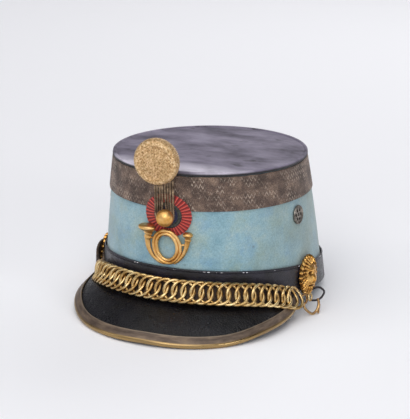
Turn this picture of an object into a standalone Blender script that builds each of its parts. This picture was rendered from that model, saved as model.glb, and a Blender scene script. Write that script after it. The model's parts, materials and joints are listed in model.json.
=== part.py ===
"""A light cavalry officer's shako with its chin chain, resting as it would on a table.

Metres, +Z up.  The hat is modelled level, as it is worn, under the empty "hat": its front
faces -Y and its rim lies on Z = 0.  The empty then tips it back until it stands on the back
of its rim and the edge of its peak, and moves its box's middle over the origin.
"""

import math

import bpy
import bmesh
from mathutils import Matrix, Vector

# Body: an oval rim, a smaller oval crown that leans forward, and a straight wall between
RIM_HALF_WIDTH = 0.0835
RIM_HALF_LENGTH = 0.1015
CROWN_HALF_WIDTH = 0.0705
CROWN_HALF_LENGTH = 0.0915
CROWN_FORWARD = 0.028
CROWN_HEIGHT = 0.098
CROWN_RISE = 0.0125
WALL_BULGE = 0.0009
SHELL_THICKNESS = 0.0024
GAP = 0.0003

# Crown leather, lace band and leather band
CROWN_THICKNESS = 0.0022
CROWN_WELT = 0.0009
CROWN_WELT_WIDTH = 0.0026
CROWN_DOME = 0.0012
LACE_WIDTH = 0.0262
LACE_THICKNESS = 0.0010
BAND_WIDTH = 0.0222
BAND_THICKNESS = 0.0015
BAND_LIFT = 0.0005

# Peak and its metal edge
PEAK_THICKNESS = 0.0024
PEAK_HALF_WIDTH = 0.0838
PEAK_REACH = 0.0445
PEAK_DROP = 0.0243
PEAK_LENGTH = 0.0855
PEAK_ARCH = 0.0022
PEAK_ROOT_ANGLE = 70.0
PEAK_END_ANGLE = 107.0
PEAK_KEPT = 0.945
TRIM_METAL = 0.0007
TRIM_FLANGE = 0.0062

# Chin chain: rings of bent wire on a leather strap
WIRE = 0.0019
LINK_LENGTH = 0.0179
LINK_HEIGHT = 0.0177
LINK_PITCH = 0.0066
LINK_TWIST = 0.00125
LINK_LEAN = 0.00026
STRAP_WIDTH = 0.0130
STRAP_END_SHARE = 0.60
STRAP_THICKNESS = 0.0016
HOOK_WIRE = 0.0016
END_RING = 0.0088
END_RING_TURN = 42.0

# Ornaments down the front
POMPOM = 0.0348
POMPOM_THICKNESS = 0.0105
POMPOM_LIFT = 0.0122
POMPOM_SHIFT = -0.0025
STEM = 0.0036
CORD = 0.0012
CORD_COUNT = 4
BUTTON = 0.0129
BUTTON_SHANK = 0.0020
COCKADE = 0.0335
COCKADE_RED = 0.0066
COCKADE_GREY = 0.0024
COCKADE_THICKNESS = 0.0008
COCKADE_PLEAT = 0.0006
COCKADE_PLEATS = 36
COCKADE_DROP = 0.0300
COCKADE_SHIFT = 0.0018
BUTTON_SHIFT = 0.0008
HORN_COIL_HEIGHT = 0.0282
HORN_COIL_WIDTH = 0.0219
HORN_TUBE = 0.0023
HORN_RELIEF = 0.0024
HORN_HEIGHT = 0.0390
HORN_SHIFT = 0.0010

# Ornaments on the sides
SIDE_ANGLE = 78.5
BOSS_WIDTH = 0.0280
BOSS_HEIGHT = 0.0320
BOSS_RELIEF = 0.0075
BOSS_RISE = 0.0125
VENT = 0.0145
VENT_PLATE = 0.0010
VENT_HOLE = 0.0019
VENT_RISE = 0.0622

AROUND = 40

# Height of the peak's edge along half its outline, as shares of the end angle and the drop
PEAK_EDGE = (
    # along, drop
    (0.00, 1.00),
    (0.20, 1.02),
    (0.37, 0.97),
    (0.47, 0.87),
    (0.57, 0.72),
    (0.67, 0.59),
    (0.77, 0.48),
    (0.88, 0.35),
    (1.00, 0.06),
)

# The chin chain's few chosen points: angle round the hat in degrees, then metres out from
# the wall, metres up from the rim, and degrees that the chain leans back
CHAIN_ROUTE = (
    # angle, out, up, lean
    (-66.0, 0.0114, 0.0048, 18.0),
    (-50.0, 0.0112, 0.0058, 22.0),
    (-30.0, 0.0110, 0.0066, 25.0),
    (0.0, 0.0110, 0.0068, 26.0),
    (25.0, 0.0110, 0.0068, 25.0),
    (45.0, 0.0114, 0.0054, 24.0),
    (62.5, 0.0126, 0.0018, 24.0),
)

# The strap's bare end on the other side, where it narrows and runs up under the boss
STRAP_TAIL = (
    # angle, out, up, half width
    (-70.3, 0.0029, 0.0066, 0.0040),
    (-76.0, 0.0029, 0.0090, 0.0040),
    (-82.0, 0.0029, 0.0110, 0.0040),
)

# The wire hook's route from the end ring, down, round and up to the boss
HOOK_ROUTE = (
    # angle, out, up
    (68.1, 0.0152, -0.0026),
    (68.8, 0.0140, -0.0056),
    (70.4, 0.0110, -0.0089),
    (73.0, 0.0080, -0.0116),
    (75.8, 0.0072, -0.0123),
    (78.4, 0.0074, -0.0108),
    (80.0, 0.0076, -0.0078),
    (81.4, 0.0074, -0.0048),
    (83.4, 0.0068, -0.0026),
    (84.0, 0.0058, 0.0002),
    (82.4, 0.0051, 0.0010),
    (80.6, 0.0047, -0.0008),
    (79.2, 0.0042, -0.0030),
)

# The horn's two arms, from the foot of the coil to their open ends, as shares of half the
# coil's height: across, up and radius
HORN_BELL_ARM = (
    # across, up, radius
    (-0.05, -0.95, 0.070),
    (-0.42, -0.92, 0.080),
    (-0.78, -0.62, 0.100),
    (-0.97, -0.19, 0.125),
    (-0.99, 0.25, 0.150),
    (-0.93, 0.60, 0.175),
    (-0.88, 0.85, 0.260),
    (-0.87, 0.98, 0.370),
    (-0.87, 1.06, 0.355),
)
HORN_MOUTH_ARM = (
    # across, up, radius
    (0.35, -0.91, 0.070),
    (0.60, -0.68, 0.085),
    (0.78, -0.44, 0.090),
    (0.92, -0.14, 0.100),
    (1.00, 0.16, 0.115),
    (1.06, 0.48, 0.125),
    (1.08, 0.68, 0.150),
    (1.08, 0.80, 0.220),
    (1.08, 0.88, 0.210),
)


def clear_scene():
    for old in list(bpy.data.objects):
        bpy.data.objects.remove(old, do_unlink=True)


def make_material(name, colour, roughness, metallic=0.0):
    material = bpy.data.materials.new(name)
    material.use_nodes = True
    shader = material.node_tree.nodes["Principled BSDF"]
    shader.inputs["Base Color"].default_value = (*colour, 1.0)
    shader.inputs["Roughness"].default_value = roughness
    shader.inputs["Metallic"].default_value = metallic
    material.diffuse_color = (*colour, 1.0)
    return material


def add_piece(name, bm, material, smooth_angle=40.0):
    """Turn a bmesh into a named object on the hat."""
    mesh = bpy.data.meshes.new(name)
    bm.to_mesh(mesh)
    bm.free()
    mesh.shade_smooth()
    mesh.set_sharp_from_angle(angle=math.radians(smooth_angle))
    mesh.materials.append(material)
    piece = bpy.data.objects.new(name, mesh)
    bpy.context.scene.collection.objects.link(piece)
    piece.parent = bpy.data.objects["hat"]
    return piece


def loft(sections, wrap=False, bm=None):
    """Join equal loops of points into one closed skin: a ring if wrapped, else with end caps."""
    bm = bm or bmesh.new()
    loops = [[bm.verts.new(point) for point in section] for section in sections]
    pairs = list(zip(loops, loops[1:]))
    if wrap:
        pairs.append((loops[-1], loops[0]))
    faces = []
    for near, far in pairs:
        for i in range(len(near)):
            j = (i + 1) % len(near)
            faces.append(bm.faces.new((near[i], near[j], far[j], far[i])))
    if not wrap:
        faces.append(bm.faces.new(loops[0][::-1]))
        faces.append(bm.faces.new(loops[-1]))
    bmesh.ops.recalc_face_normals(bm, faces=faces)
    return bm


def tube(points, radii, sides, wrap=False, bm=None):
    """A round wire along the points, its rings turned as little as they can be."""
    count = len(points)
    tangents = []
    for i in range(count):
        ahead = points[(i + 1) % count] if wrap or i < count - 1 else points[i]
        behind = points[i - 1] if wrap or i > 0 else points[i]
        tangents.append((ahead - behind).normalized())
    normal = tangents[0].orthogonal().normalized()
    sections = []
    for point, tangent, radius in zip(points, tangents, radii):
        normal = (normal - tangent * normal.dot(tangent)).normalized()
        side = tangent.cross(normal)
        turns = (2 * math.pi * k / sides for k in range(sides))
        sections.append([point + (normal * math.cos(t) + side * math.sin(t)) * radius for t in turns])
    return loft(sections, wrap, bm)


def combine(piece, other, operation):
    """Fuse or cut a piece with a hidden helper solid."""
    other.hide_render = True
    other.display_type = "WIRE"
    modifier = piece.modifiers.new(operation.title(), "BOOLEAN")
    modifier.operation = operation
    modifier.solver = "EXACT"
    modifier.object = other


def read_table(table, x):
    """The other columns of a table at x, along a smooth curve through its rows."""
    rows = list(table)
    x = min(max(x, rows[0][0]), rows[-1][0])
    i = max(k for k in range(len(rows) - 1) if rows[k][0] <= x)
    near, far = rows[i], rows[i + 1]
    before = rows[i - 1] if i > 0 else near
    after = rows[i + 2] if i + 2 < len(rows) else far
    step = far[0] - near[0]
    t = (x - near[0]) / step
    values = []
    for k in range(1, len(near)):
        start = (far[k] - before[k]) / (far[0] - before[0]) * step
        end = (after[k] - near[k]) / (after[0] - near[0]) * step
        values.append(near[k] * (2 * t**3 - 3 * t**2 + 1) + start * (t**3 - 2 * t**2 + t)
                      + far[k] * (3 * t**2 - 2 * t**3) + end * (t**3 - t**2))
    return values


def crown_edge(angle):
    """The crown's oval edge; the angle runs from the front towards +X."""
    along = -CROWN_HALF_LENGTH * math.cos(angle)
    rise = CROWN_RISE / 2 * along / CROWN_HALF_LENGTH
    return Vector((CROWN_HALF_WIDTH * math.sin(angle), along - CROWN_FORWARD, CROWN_HEIGHT + rise))


def outward(angle, share):
    """Level direction straight out of the wall."""
    half_width = RIM_HALF_WIDTH + (CROWN_HALF_WIDTH - RIM_HALF_WIDTH) * share
    half_length = RIM_HALF_LENGTH + (CROWN_HALF_LENGTH - RIM_HALF_LENGTH) * share
    return Vector((math.sin(angle) / half_width, -math.cos(angle) / half_length, 0.0)).normalized()


def wall(angle, share, out=0.0):
    """A point on the cloth: share is 0 at the rim and 1 at the crown."""
    rim = Vector((RIM_HALF_WIDTH * math.sin(angle), -RIM_HALF_LENGTH * math.cos(angle), 0.0))
    bulge = WALL_BULGE * 4 * share * (1 - share)
    return rim.lerp(crown_edge(angle), share) + outward(angle, share) * (out + bulge)


def slant(angle):
    """Length of the wall from the rim to the crown."""
    return (crown_edge(angle) - wall(angle, 0.0)).length


def wall_frame(angle, height, out=0.0):
    """A frame on the wall, height metres up its slope: X across, Y up the wall, Z straight out."""
    share = height / slant(angle)
    step = 0.001
    across = (wall(angle + step, share) - wall(angle - step, share)).normalized()
    up = (wall(angle, share + step) - wall(angle, share - step)).normalized()
    out_of_wall = across.cross(up).normalized()
    up = out_of_wall.cross(across)
    frame = Matrix((across, up, out_of_wall)).transposed().to_4x4()
    frame.translation = wall(angle, share) + out_of_wall * out
    return frame


def on_front(across, height, out):
    """A point out from the front wall, wrapped round its curve."""
    share = height / slant(0.0)
    half_width = RIM_HALF_WIDTH + (CROWN_HALF_WIDTH - RIM_HALF_WIDTH) * share
    angle = math.asin(across / half_width)
    frame = wall_frame(angle, height / slant(0.0) * slant(angle))
    return frame @ Vector((0.0, 0.0, out))


def angles(count, first=0.0, last=360.0, closed=True):
    span = math.radians(last - first)
    steps = count if closed else count - 1
    return [math.radians(first) + span * k / steps for k in range(count)]


def band_sections(low, high, inner, outer, bevel):
    """Sections of a band that wraps the body; low and high are metres up the wall."""
    sections = []
    for angle in angles(AROUND):
        length = slant(angle)
        profile = ((inner, low), (outer, low), (outer, high - bevel), (outer - bevel, high), (inner, high))
        sections.append([wall(angle, height / length, out) for out, height in profile])
    return sections


def build_body_shell(material):
    rows = [k / 3 for k in range(4)]
    sections = []
    for angle in angles(AROUND):
        outside = [wall(angle, share) for share in rows]
        inside = [wall(angle, share, -SHELL_THICKNESS) for share in reversed(rows)]
        sections.append(outside + inside)
    shell = add_piece("body_shell", loft(sections, wrap=True), material)
    for side in (-1, 1):
        bm = bmesh.new()
        bmesh.ops.create_cone(bm, cap_ends=True, segments=10, radius1=VENT * 0.32, radius2=VENT * 0.32,
                              depth=SHELL_THICKNESS * 6)
        cutter = add_piece(f"vent_cutter_{side}", bm, material)
        cutter.matrix_local = wall_frame(math.radians(side * SIDE_ANGLE), VENT_RISE)
        combine(shell, cutter, "DIFFERENCE")
    return shell


def build_crown_top(material):
    """A leather disc with a raised welt round its edge and a shallow dome inside it."""
    middle = Vector((0.0, -CROWN_FORWARD, CROWN_HEIGHT))
    tilt = Vector((0.0, -CROWN_RISE / 2 / CROWN_HALF_LENGTH, 1.0)).normalized()
    overhang = GAP + LACE_THICKNESS
    top = GAP + CROWN_THICKNESS
    profile = (
        # metres in from the edge, metres above the wall
        (0.0, GAP),
        (0.0, top),
        (CROWN_WELT_WIDTH * 0.3, top + CROWN_WELT),
        (CROWN_WELT_WIDTH * 0.8, top + CROWN_WELT),
        (CROWN_WELT_WIDTH * 1.2, top),
        (CROWN_HALF_WIDTH * 0.50, top + CROWN_DOME),
    )
    bm = bmesh.new()
    loops = []
    for inset, lift in profile:
        loop = []
        for angle in angles(AROUND):
            edge = wall(angle, 1.0, overhang)
            inward = (middle - edge) * (inset / CROWN_HALF_WIDTH)
            loop.append(bm.verts.new(edge + inward + tilt * lift))
        loops.append(loop)
    for lower, upper in zip(loops, loops[1:]):
        for i in range(AROUND):
            j = (i + 1) % AROUND
            bm.faces.new((lower[i], lower[j], upper[j], upper[i]))
    bm.faces.new(loops[0][::-1])
    bm.faces.new(loops[-1])
    bmesh.ops.recalc_face_normals(bm, faces=bm.faces)
    return add_piece("crown_top", bm, material, 60.0)


def build_bands(lace, leather):
    inner = GAP
    sections = []
    for angle in angles(AROUND):
        length = slant(angle)
        low = 1.0 - LACE_WIDTH / length
        profile = ((inner, low), (inner + LACE_THICKNESS, low),
                   (inner + LACE_THICKNESS, 1.0), (inner, 1.0))
        sections.append([wall(angle, share, out) for out, share in profile])
    add_piece("lace_band", loft(sections, wrap=True), lace)
    bevel = BAND_THICKNESS * 0.4
    sections = band_sections(BAND_LIFT, BAND_WIDTH, inner, inner + BAND_THICKNESS, bevel)
    add_piece("leather_band", loft(sections, wrap=True), leather)


def peak_section(along):
    """Four points down the top of the peak, and the frame of its edge; along is -1 to 1 end to end."""
    root_angle = math.radians(PEAK_ROOT_ANGLE) * along
    root = wall(root_angle, (BAND_LIFT + GAP) / CROWN_HEIGHT, GAP + BAND_THICKNESS + GAP * 2)
    angle = math.radians(PEAK_END_ANGLE) * along
    front = -RIM_HALF_LENGTH - PEAK_REACH
    drop = read_table(PEAK_EDGE, abs(along))[0] * PEAK_DROP
    edge = Vector((PEAK_HALF_WIDTH * math.sin(angle),
                   front + PEAK_LENGTH * (1 - math.cos(angle)), -drop))
    width = (edge - root).length
    slope = (edge - root) / width
    normal = (Vector((0.0, 0.0, 1.0)) - slope * slope.z).normalized()
    arch = PEAK_ARCH * min(1.0, width / PEAK_REACH)
    bare = 1 - min(TRIM_FLANGE / width, 0.7)
    top = [root.lerp(edge, share) + normal * (arch * 4 * share * (1 - share))
           for share in (0.0, bare / 2, bare, 1.0)]
    edge_slope = (top[3] - top[2]).normalized()
    edge_normal = (normal - edge_slope * normal.dot(edge_slope)).normalized()
    return top, normal, edge_slope, edge_normal


def peak_places():
    """Even steps along the peak, a little closer together near its ends."""
    count = 24
    steps = [-1 + 2 * k / count for k in range(count + 1)]
    return [PEAK_KEPT * (math.sin(step * math.pi / 2) * 0.35 + step * 0.65) for step in steps]


def build_peak(material):
    sections = []
    for along in peak_places():
        top, normal, edge_slope, edge_normal = peak_section(along)
        normals = (normal, normal, edge_normal, edge_normal)
        bottom = [point - down * PEAK_THICKNESS for point, down in zip(top, normals)]
        sections.append(top + bottom[::-1])
    return add_piece("peak", loft(sections), material)


def build_peak_trim(material):
    """A folded metal channel with a rolled nose, clear of the leather by one gap."""
    half = PEAK_THICKNESS / 2
    inside = half + GAP
    outside = inside + TRIM_METAL
    sections = []
    for along in peak_places():
        top, normal, edge_slope, edge_normal = peak_section(along)
        flange = (top[3] - top[2]).length
        profile = [(-flange, outside)]
        for turn in (90, 35, -35, -90):
            profile.append((math.cos(math.radians(turn)) * outside, math.sin(math.radians(turn)) * outside))
        profile += [(-flange, -outside), (-flange, -inside)]
        profile += [(GAP, -inside), (GAP, inside), (-flange, inside)]
        centre = top[3] - edge_normal * half
        sections.append([centre + edge_slope * x + edge_normal * y for x, y in profile])
    return add_piece("peak_trim", loft(sections), material)


def beside_wall(angle, out, up):
    """A point out from the wall's line, which runs on below the rim."""
    return wall(angle, up / CROWN_HEIGHT, out)


def chain_path():
    """Points and frames along the chin chain, one pitch apart: tangent, up and out."""
    first, last = CHAIN_ROUTE[0][0], CHAIN_ROUTE[-1][0]
    fine = 400
    points, outs = [], []
    for k in range(fine + 1):
        degrees = first + (last - first) * k / fine
        out, up, lean = read_table(CHAIN_ROUTE, degrees)
        angle = math.radians(degrees)
        points.append(beside_wall(angle, out, up))
        lean = math.radians(lean)
        outs.append(outward(angle, 0.0) * math.cos(lean) + Vector((0.0, 0.0, math.sin(lean))))
    lengths = [0.0]
    for near, far in zip(points, points[1:]):
        lengths.append(lengths[-1] + (far - near).length)
    count = int(lengths[-1] / LINK_PITCH)
    frames = []
    for k in range(count + 1):
        place = lengths[-1] - (count - k) * LINK_PITCH
        i = max(1, min(fine - 1, next(n for n, length in enumerate(lengths) if length >= place - 1e-9)))
        tangent = (points[i + 1] - points[i - 1]).normalized()
        out = (outs[i] - tangent * outs[i].dot(tangent)).normalized()
        frame = Matrix((tangent, out.cross(tangent), out)).transposed().to_4x4()
        frame.translation = points[i]
        frames.append(frame)
    return frames


def link_points(frame):
    """A bent ring: its upper left and lower right stand forward, so that its neighbours lie in it.

    It also leans a little, so that it touches each neighbour once, at the foot.
    """
    half_length = (LINK_LENGTH - WIRE) / 2
    half_height = (LINK_HEIGHT - WIRE) / 2
    points = []
    for t in angles(10):
        bend = -LINK_TWIST * math.sin(2 * t) - LINK_LEAN * math.cos(t)
        points.append(frame @ Vector((half_length * math.cos(t), half_height * math.sin(t), bend)))
    return points


def link_wire(frame, bm):
    """One link's wire, with a corner of its section always facing out."""
    points = link_points(frame)
    out = frame.to_3x3() @ Vector((0.0, 0.0, 1.0))
    sections = []
    for i, point in enumerate(points):
        tangent = (points[(i + 1) % len(points)] - points[i - 1]).normalized()
        normal = (out - tangent * out.dot(tangent)).normalized()
        side = tangent.cross(normal)
        corners = [normal * math.cos(t) + side * math.sin(t) for t in angles(5)]
        sections.append([point + corner * WIRE / 2 for corner in corners])
    loft(sections, wrap=True, bm=bm)


def build_chain(material):
    """Every other link is one mesh, and its neighbours, which touch it, are fused to it."""
    frames = chain_path()
    halves = []
    for start in (0, 1):
        bm = bmesh.new()
        for frame in frames[start::2]:
            link_wire(frame, bm)
        halves.append(bm)
    chain = add_piece("chin_chain", halves[0], material, 60.0)
    others = add_piece("chin_chain_other_links", halves[1], material)
    combine(chain, others, "UNION")
    return chain


def strap_behind():
    """How far the strap's front face lies behind the chain's centre line."""
    return LINK_TWIST + LINK_LEAN + WIRE / 2 + GAP


def build_strap(material):
    front = strap_behind()
    sections = []
    frames = chain_path()
    kept = frames[::2] + frames[-1:] * (1 - len(frames) % 2)
    for k, frame in enumerate(kept):
        to_end = min(1.0, (len(kept) - 1 - k) / 3, k / 2)
        half = STRAP_WIDTH / 2 * (STRAP_END_SHARE + (1 - STRAP_END_SHARE) * to_end)
        profile = ((half, -front), (half, -front - STRAP_THICKNESS),
                   (-half, -front - STRAP_THICKNESS), (-half, -front))
        sections.append([frame @ Vector((0.0, y, z)) for y, z in profile])
    for degrees, out, up, half in STRAP_TAIL:
        angle = math.radians(degrees)
        half_thick = STRAP_THICKNESS / 2
        profile = ((half, half_thick), (half, -half_thick), (-half, -half_thick), (-half, half_thick))
        sections.insert(0, [beside_wall(angle, out + z, up + y) for y, z in profile])
    return add_piece("chain_strap", loft(sections), material)


def cockade_height():
    """Height of the cockade's middle up the front wall."""
    return slant(0.0) - COCKADE_DROP


def lace_face():
    return GAP + LACE_THICKNESS


def cockade_out(above):
    """The back of the cockade, above metres over its middle: it leans on the lace's lower edge."""
    foot = -COCKADE / 2
    lace_edge = COCKADE_DROP - LACE_WIDTH
    lean = LACE_THICKNESS / max(lace_edge - foot, COCKADE / 4)
    return lace_face() + GAP + (above - lace_edge) * lean


def cockade_point(across, above, level):
    return on_front(COCKADE_SHIFT + across, cockade_height() + above, cockade_out(above) + level)


def cockade_ring(inner, outer, columns, thickness):
    """A flat ring on the front wall; thickness is a function of the column."""
    sections = []
    for i, t in enumerate(angles(columns)):
        profile = ((inner, 0.0), (outer, 0.0), (outer, thickness(i)), (inner, thickness(i)))
        sections.append([cockade_point(radius * math.sin(t), radius * math.cos(t), level)
                         for radius, level in profile])
    return loft(sections, wrap=True)


def build_cockade(red, grey, blue):
    outer = COCKADE / 2
    inner = outer - COCKADE_RED

    def pleated(i):
        return COCKADE_THICKNESS + COCKADE_PLEAT * (i % 2)

    def flat(i):
        return COCKADE_THICKNESS

    add_piece("cockade_red", cockade_ring(inner, outer, COCKADE_PLEATS * 2, pleated), red, 20.0)
    grey_outer = inner - GAP
    grey_inner = grey_outer - COCKADE_GREY
    add_piece("cockade_grey", cockade_ring(grey_inner, grey_outer, 24, flat), grey)
    blue_outer = grey_inner - GAP
    face = [(0.1, COCKADE_THICKNESS), (0.55, COCKADE_THICKNESS), (1.0, COCKADE_THICKNESS)]
    back = [(share, 0.0) for share, level in reversed(face)]
    sections = [[cockade_point(blue_outer * share * math.sin(t), blue_outer * share * math.cos(t), level)
                 for t in angles(16)] for share, level in face + back]
    add_piece("cockade_blue", loft(sections), blue)


def cord_out(above):
    """The middle of the cords, above metres over the cockade's middle."""
    return cockade_out(above) + COCKADE_THICKNESS + COCKADE_PLEAT + GAP + CORD / 2


def cord_top():
    """The cords end behind the pompom's lower edge; height over the cockade's middle."""
    return COCKADE_DROP + POMPOM_LIFT - POMPOM * 0.42


def build_ganse(material):
    """Nested cord loops that hang from behind the pompom and turn round the button's shank."""
    top = cord_top()
    for loop in range(CORD_COUNT):
        radius = BUTTON_SHANK / 2 + GAP + CORD / 2 + loop * (CORD + GAP)
        bend = [(radius * math.cos(t), radius * math.sin(t)) for t in angles(7, 180, 360, False)]
        flat = [(-radius, top), (-radius, top / 2)] + bend + [(radius, top / 2), (radius, top)]
        points = [on_front(BUTTON_SHIFT + x, cockade_height() + y, cord_out(y)) for x, y in flat]
        add_piece(f"ganse_cord_{loop + 1}", tube(points, [CORD / 2] * len(points), 5), material, 80.0)


def build_button(material):
    """A gilt ball on a shank that passes through the innermost cord loop."""
    foot = cockade_out(0.0) + COCKADE_THICKNESS + GAP
    seat = cord_out(BUTTON / 2) + CORD / 2 + GAP
    radius = BUTTON / 2
    flat_turn = 50
    profile = [(BUTTON_SHANK / 2, foot), (BUTTON_SHANK / 2, seat)]
    for turn in (-flat_turn, -15, 20, 50, 75):
        angle = math.radians(turn)
        rise = math.sin(angle) + math.sin(math.radians(flat_turn))
        profile.append((radius * math.cos(angle), seat + radius * 0.9 * rise))
    height = cockade_height()
    frame = wall_frame(math.asin(BUTTON_SHIFT / CROWN_HALF_WIDTH), height)
    sections = [[frame @ Vector((r * math.cos(t), r * math.sin(t), z)) for t in angles(12)]
                for r, z in profile]
    return add_piece("button", loft(sections), material, 50.0)


def build_pompom(material):
    """A fat gilt disc, domed on its face, on a stem that lies on the lace behind it."""
    frame = wall_frame(0.0, slant(0.0))
    radius = POMPOM / 2
    stem_back = lace_face() + GAP
    back = cord_out(cord_top()) + CORD / 2 + GAP
    middle = Vector((POMPOM_SHIFT, POMPOM_LIFT, 0.0))
    profile = (
        # share of the radius, share of the thickness
        (0.86, 0.00),
        (0.98, 0.20),
        (1.00, 0.50),
        (0.92, 0.80),
        (0.78, 0.86),
        (0.64, 0.80),
        (0.42, 0.94),
        (0.16, 1.00),
    )
    sections = [[frame @ (middle + Vector((radius * r * math.cos(t), radius * r * math.sin(t),
                                           back + POMPOM_THICKNESS * z))) for t in angles(20)]
                for r, z in profile]
    add_piece("pompom", loft(sections), material, 50.0)
    low = cord_top() - COCKADE_DROP + GAP + STEM / 2
    half = STEM / 2
    outline = ((-half, stem_back), (half, stem_back), (half, back - GAP), (-half, back - GAP))
    stem = [[frame @ Vector((middle.x + x, y, z)) for x, z in outline] for y in (low, POMPOM_LIFT)]
    add_piece("pompom_stem", loft(stem), material)


def horn_out(above):
    """The back of the horn, above metres over its middle: its head rests on the cockade."""
    foot = -HORN_COIL_HEIGHT / 2
    cockade_foot = cockade_height() - COCKADE / 2 - HORN_HEIGHT
    needed = cockade_out(-COCKADE / 2) + COCKADE_THICKNESS + COCKADE_PLEAT + GAP
    lean = (needed - GAP) / max(cockade_foot - foot, HORN_COIL_HEIGHT / 4)
    return GAP + (above - foot) * lean


def horn_arm(table, squash):
    """Sections of one arm, flattened towards the wall."""
    half = HORN_COIL_HEIGHT / 2
    sections = []
    for i, (x, y, radius) in enumerate(table):
        before, after = table[max(i - 1, 0)], table[min(i + 1, len(table) - 1)]
        ahead = Vector((after[0] - before[0], after[1] - before[1])).normalized()
        section = []
        for t in angles(6):
            across = x + ahead.y * radius * math.cos(t)
            above = y - ahead.x * radius * math.cos(t)
            level = radius * squash * (1 + math.sin(t)) * half + GAP
            section.append(horn_point(across * half, above * half, level))
        sections.append(section)
    return loft(sections)


def horn_point(across, above, level):
    return on_front(HORN_SHIFT + across, HORN_HEIGHT + above, horn_out(above) + level)


def build_horn(material):
    """A stamped hunting horn: a double coil, a bell up on one side and a mouthpiece on the other."""
    profile = (
        # tubes in from the outside, share of the relief
        (0.0, 0.0),
        (0.0, 0.6),
        (0.5, 1.0),
        (1.0, 0.6),
        (1.5, 1.0),
        (2.0, 0.6),
        (2.0, 0.0),
    )
    sections = []
    for t in angles(20):
        section = []
        for tubes_in, level in profile:
            across = (HORN_COIL_WIDTH / 2 - tubes_in * HORN_TUBE) * math.sin(t)
            above = (HORN_COIL_HEIGHT / 2 - tubes_in * HORN_TUBE) * math.cos(t)
            section.append(horn_point(across, above, level * HORN_RELIEF))
        sections.append(section)
    horn = add_piece("horn_badge", loft(sections, wrap=True), material, 50.0)
    bell = horn_arm(HORN_BELL_ARM, 0.75)
    combine(horn, add_piece("horn_bell_arm", bell, material), "UNION")
    mouth = horn_arm(HORN_MOUTH_ARM, 0.85)
    combine(horn, add_piece("horn_mouth_arm", mouth, material), "UNION")
    return horn


def build_boss(name, side, back, material):
    """A round boss with a lion's face: mane tufts round a raised brow, muzzle and chin."""
    frame = wall_frame(math.radians(side * SIDE_ANGLE), BOSS_RISE)
    columns, rings = 20, 5

    def relief(x, y):
        """Share of the relief at a place given in shares of the half width and half height."""
        def bump(cx, cy, wx, wy):
            return math.exp(-((x - cx) / wx) ** 2 - ((y - cy) / wy) ** 2)
        dome = 0.42 * (1 - min(1.0, x * x + y * y))
        brow = 0.22 * bump(0, 0.36, 0.42, 0.2)
        muzzle = 0.48 * bump(0, -0.18, 0.24, 0.34)
        chin = 0.2 * bump(0, -0.62, 0.2, 0.16)
        eyes = -0.16 * (bump(-0.27, 0.16, 0.12, 0.1) + bump(0.27, 0.16, 0.12, 0.1))
        cheeks = 0.14 * (bump(-0.42, -0.2, 0.2, 0.26) + bump(0.42, -0.2, 0.2, 0.26))
        return 0.16 + dome + brow + muzzle + chin + eyes + cheeks

    bm = bmesh.new()
    loops = []
    for ring in range(rings):
        share = 1.0 - ring / rings
        loop = []
        for i, t in enumerate(angles(columns)):
            tuft = 0.06 * (i % 2) * share if ring < 2 else 0.0
            x, y = math.sin(t) * (share - tuft), math.cos(t) * (share - tuft)
            level = relief(x, y) - (0.05 if ring < 2 and i % 2 else 0.0)
            spot = Vector((x * BOSS_WIDTH / 2, y * BOSS_HEIGHT / 2, back + BOSS_RELIEF * level))
            loop.append(bm.verts.new(frame @ spot))
        loops.append(loop)
    back_loop = []
    for i, t in enumerate(angles(columns)):
        tuft = 1.0 - 0.06 * (i % 2)
        spot = Vector((math.sin(t) * tuft * BOSS_WIDTH / 2, math.cos(t) * tuft * BOSS_HEIGHT / 2, back))
        back_loop.append(bm.verts.new(frame @ spot))
    loops.insert(0, back_loop)
    for lower, upper in zip(loops, loops[1:]):
        for i in range(columns):
            j = (i + 1) % columns
            bm.faces.new((lower[i], lower[j], upper[j], upper[i]))
    tip = bm.verts.new(frame @ Vector((0.0, 0.0, back + BOSS_RELIEF * relief(0.0, 0.0))))
    for i in range(columns):
        bm.faces.new((loops[-1][i], loops[-1][(i + 1) % columns], tip))
    bm.faces.new(loops[0][::-1])
    bmesh.ops.recalc_face_normals(bm, faces=bm.faces)
    return add_piece(name, bm, material, 30.0)


def build_vent(name, side, material):
    """A round metal ventilator with a rolled rim and seven holes."""
    frame = wall_frame(math.radians(side * SIDE_ANGLE), VENT_RISE)
    radius = VENT / 2
    profile = ((1.0, 0.0), (1.0, 0.9), (0.88, 1.6), (0.78, 0.9))
    sections = [[frame @ Vector((radius * r * math.cos(t), radius * r * math.sin(t), GAP + VENT_PLATE * z))
                 for t in angles(16)] for r, z in profile]
    vent = add_piece(name, loft(sections), material, 40.0)
    bm = bmesh.new()
    places = [(0.0, 0.0)] + [(radius * 0.52 * math.cos(t), radius * 0.52 * math.sin(t)) for t in angles(6)]
    for x, y in places:
        hole = VENT_HOLE / 2
        made = bmesh.ops.create_cone(bm, cap_ends=True, segments=6, radius1=hole, radius2=hole,
                                     depth=VENT_PLATE * 8)
        bmesh.ops.translate(bm, verts=made["verts"], vec=(x, y, 0.0))
    cutter = add_piece(name + "_holes", bm, material)
    cutter.matrix_local = frame
    combine(vent, cutter, "DIFFERENCE")
    return vent


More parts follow.
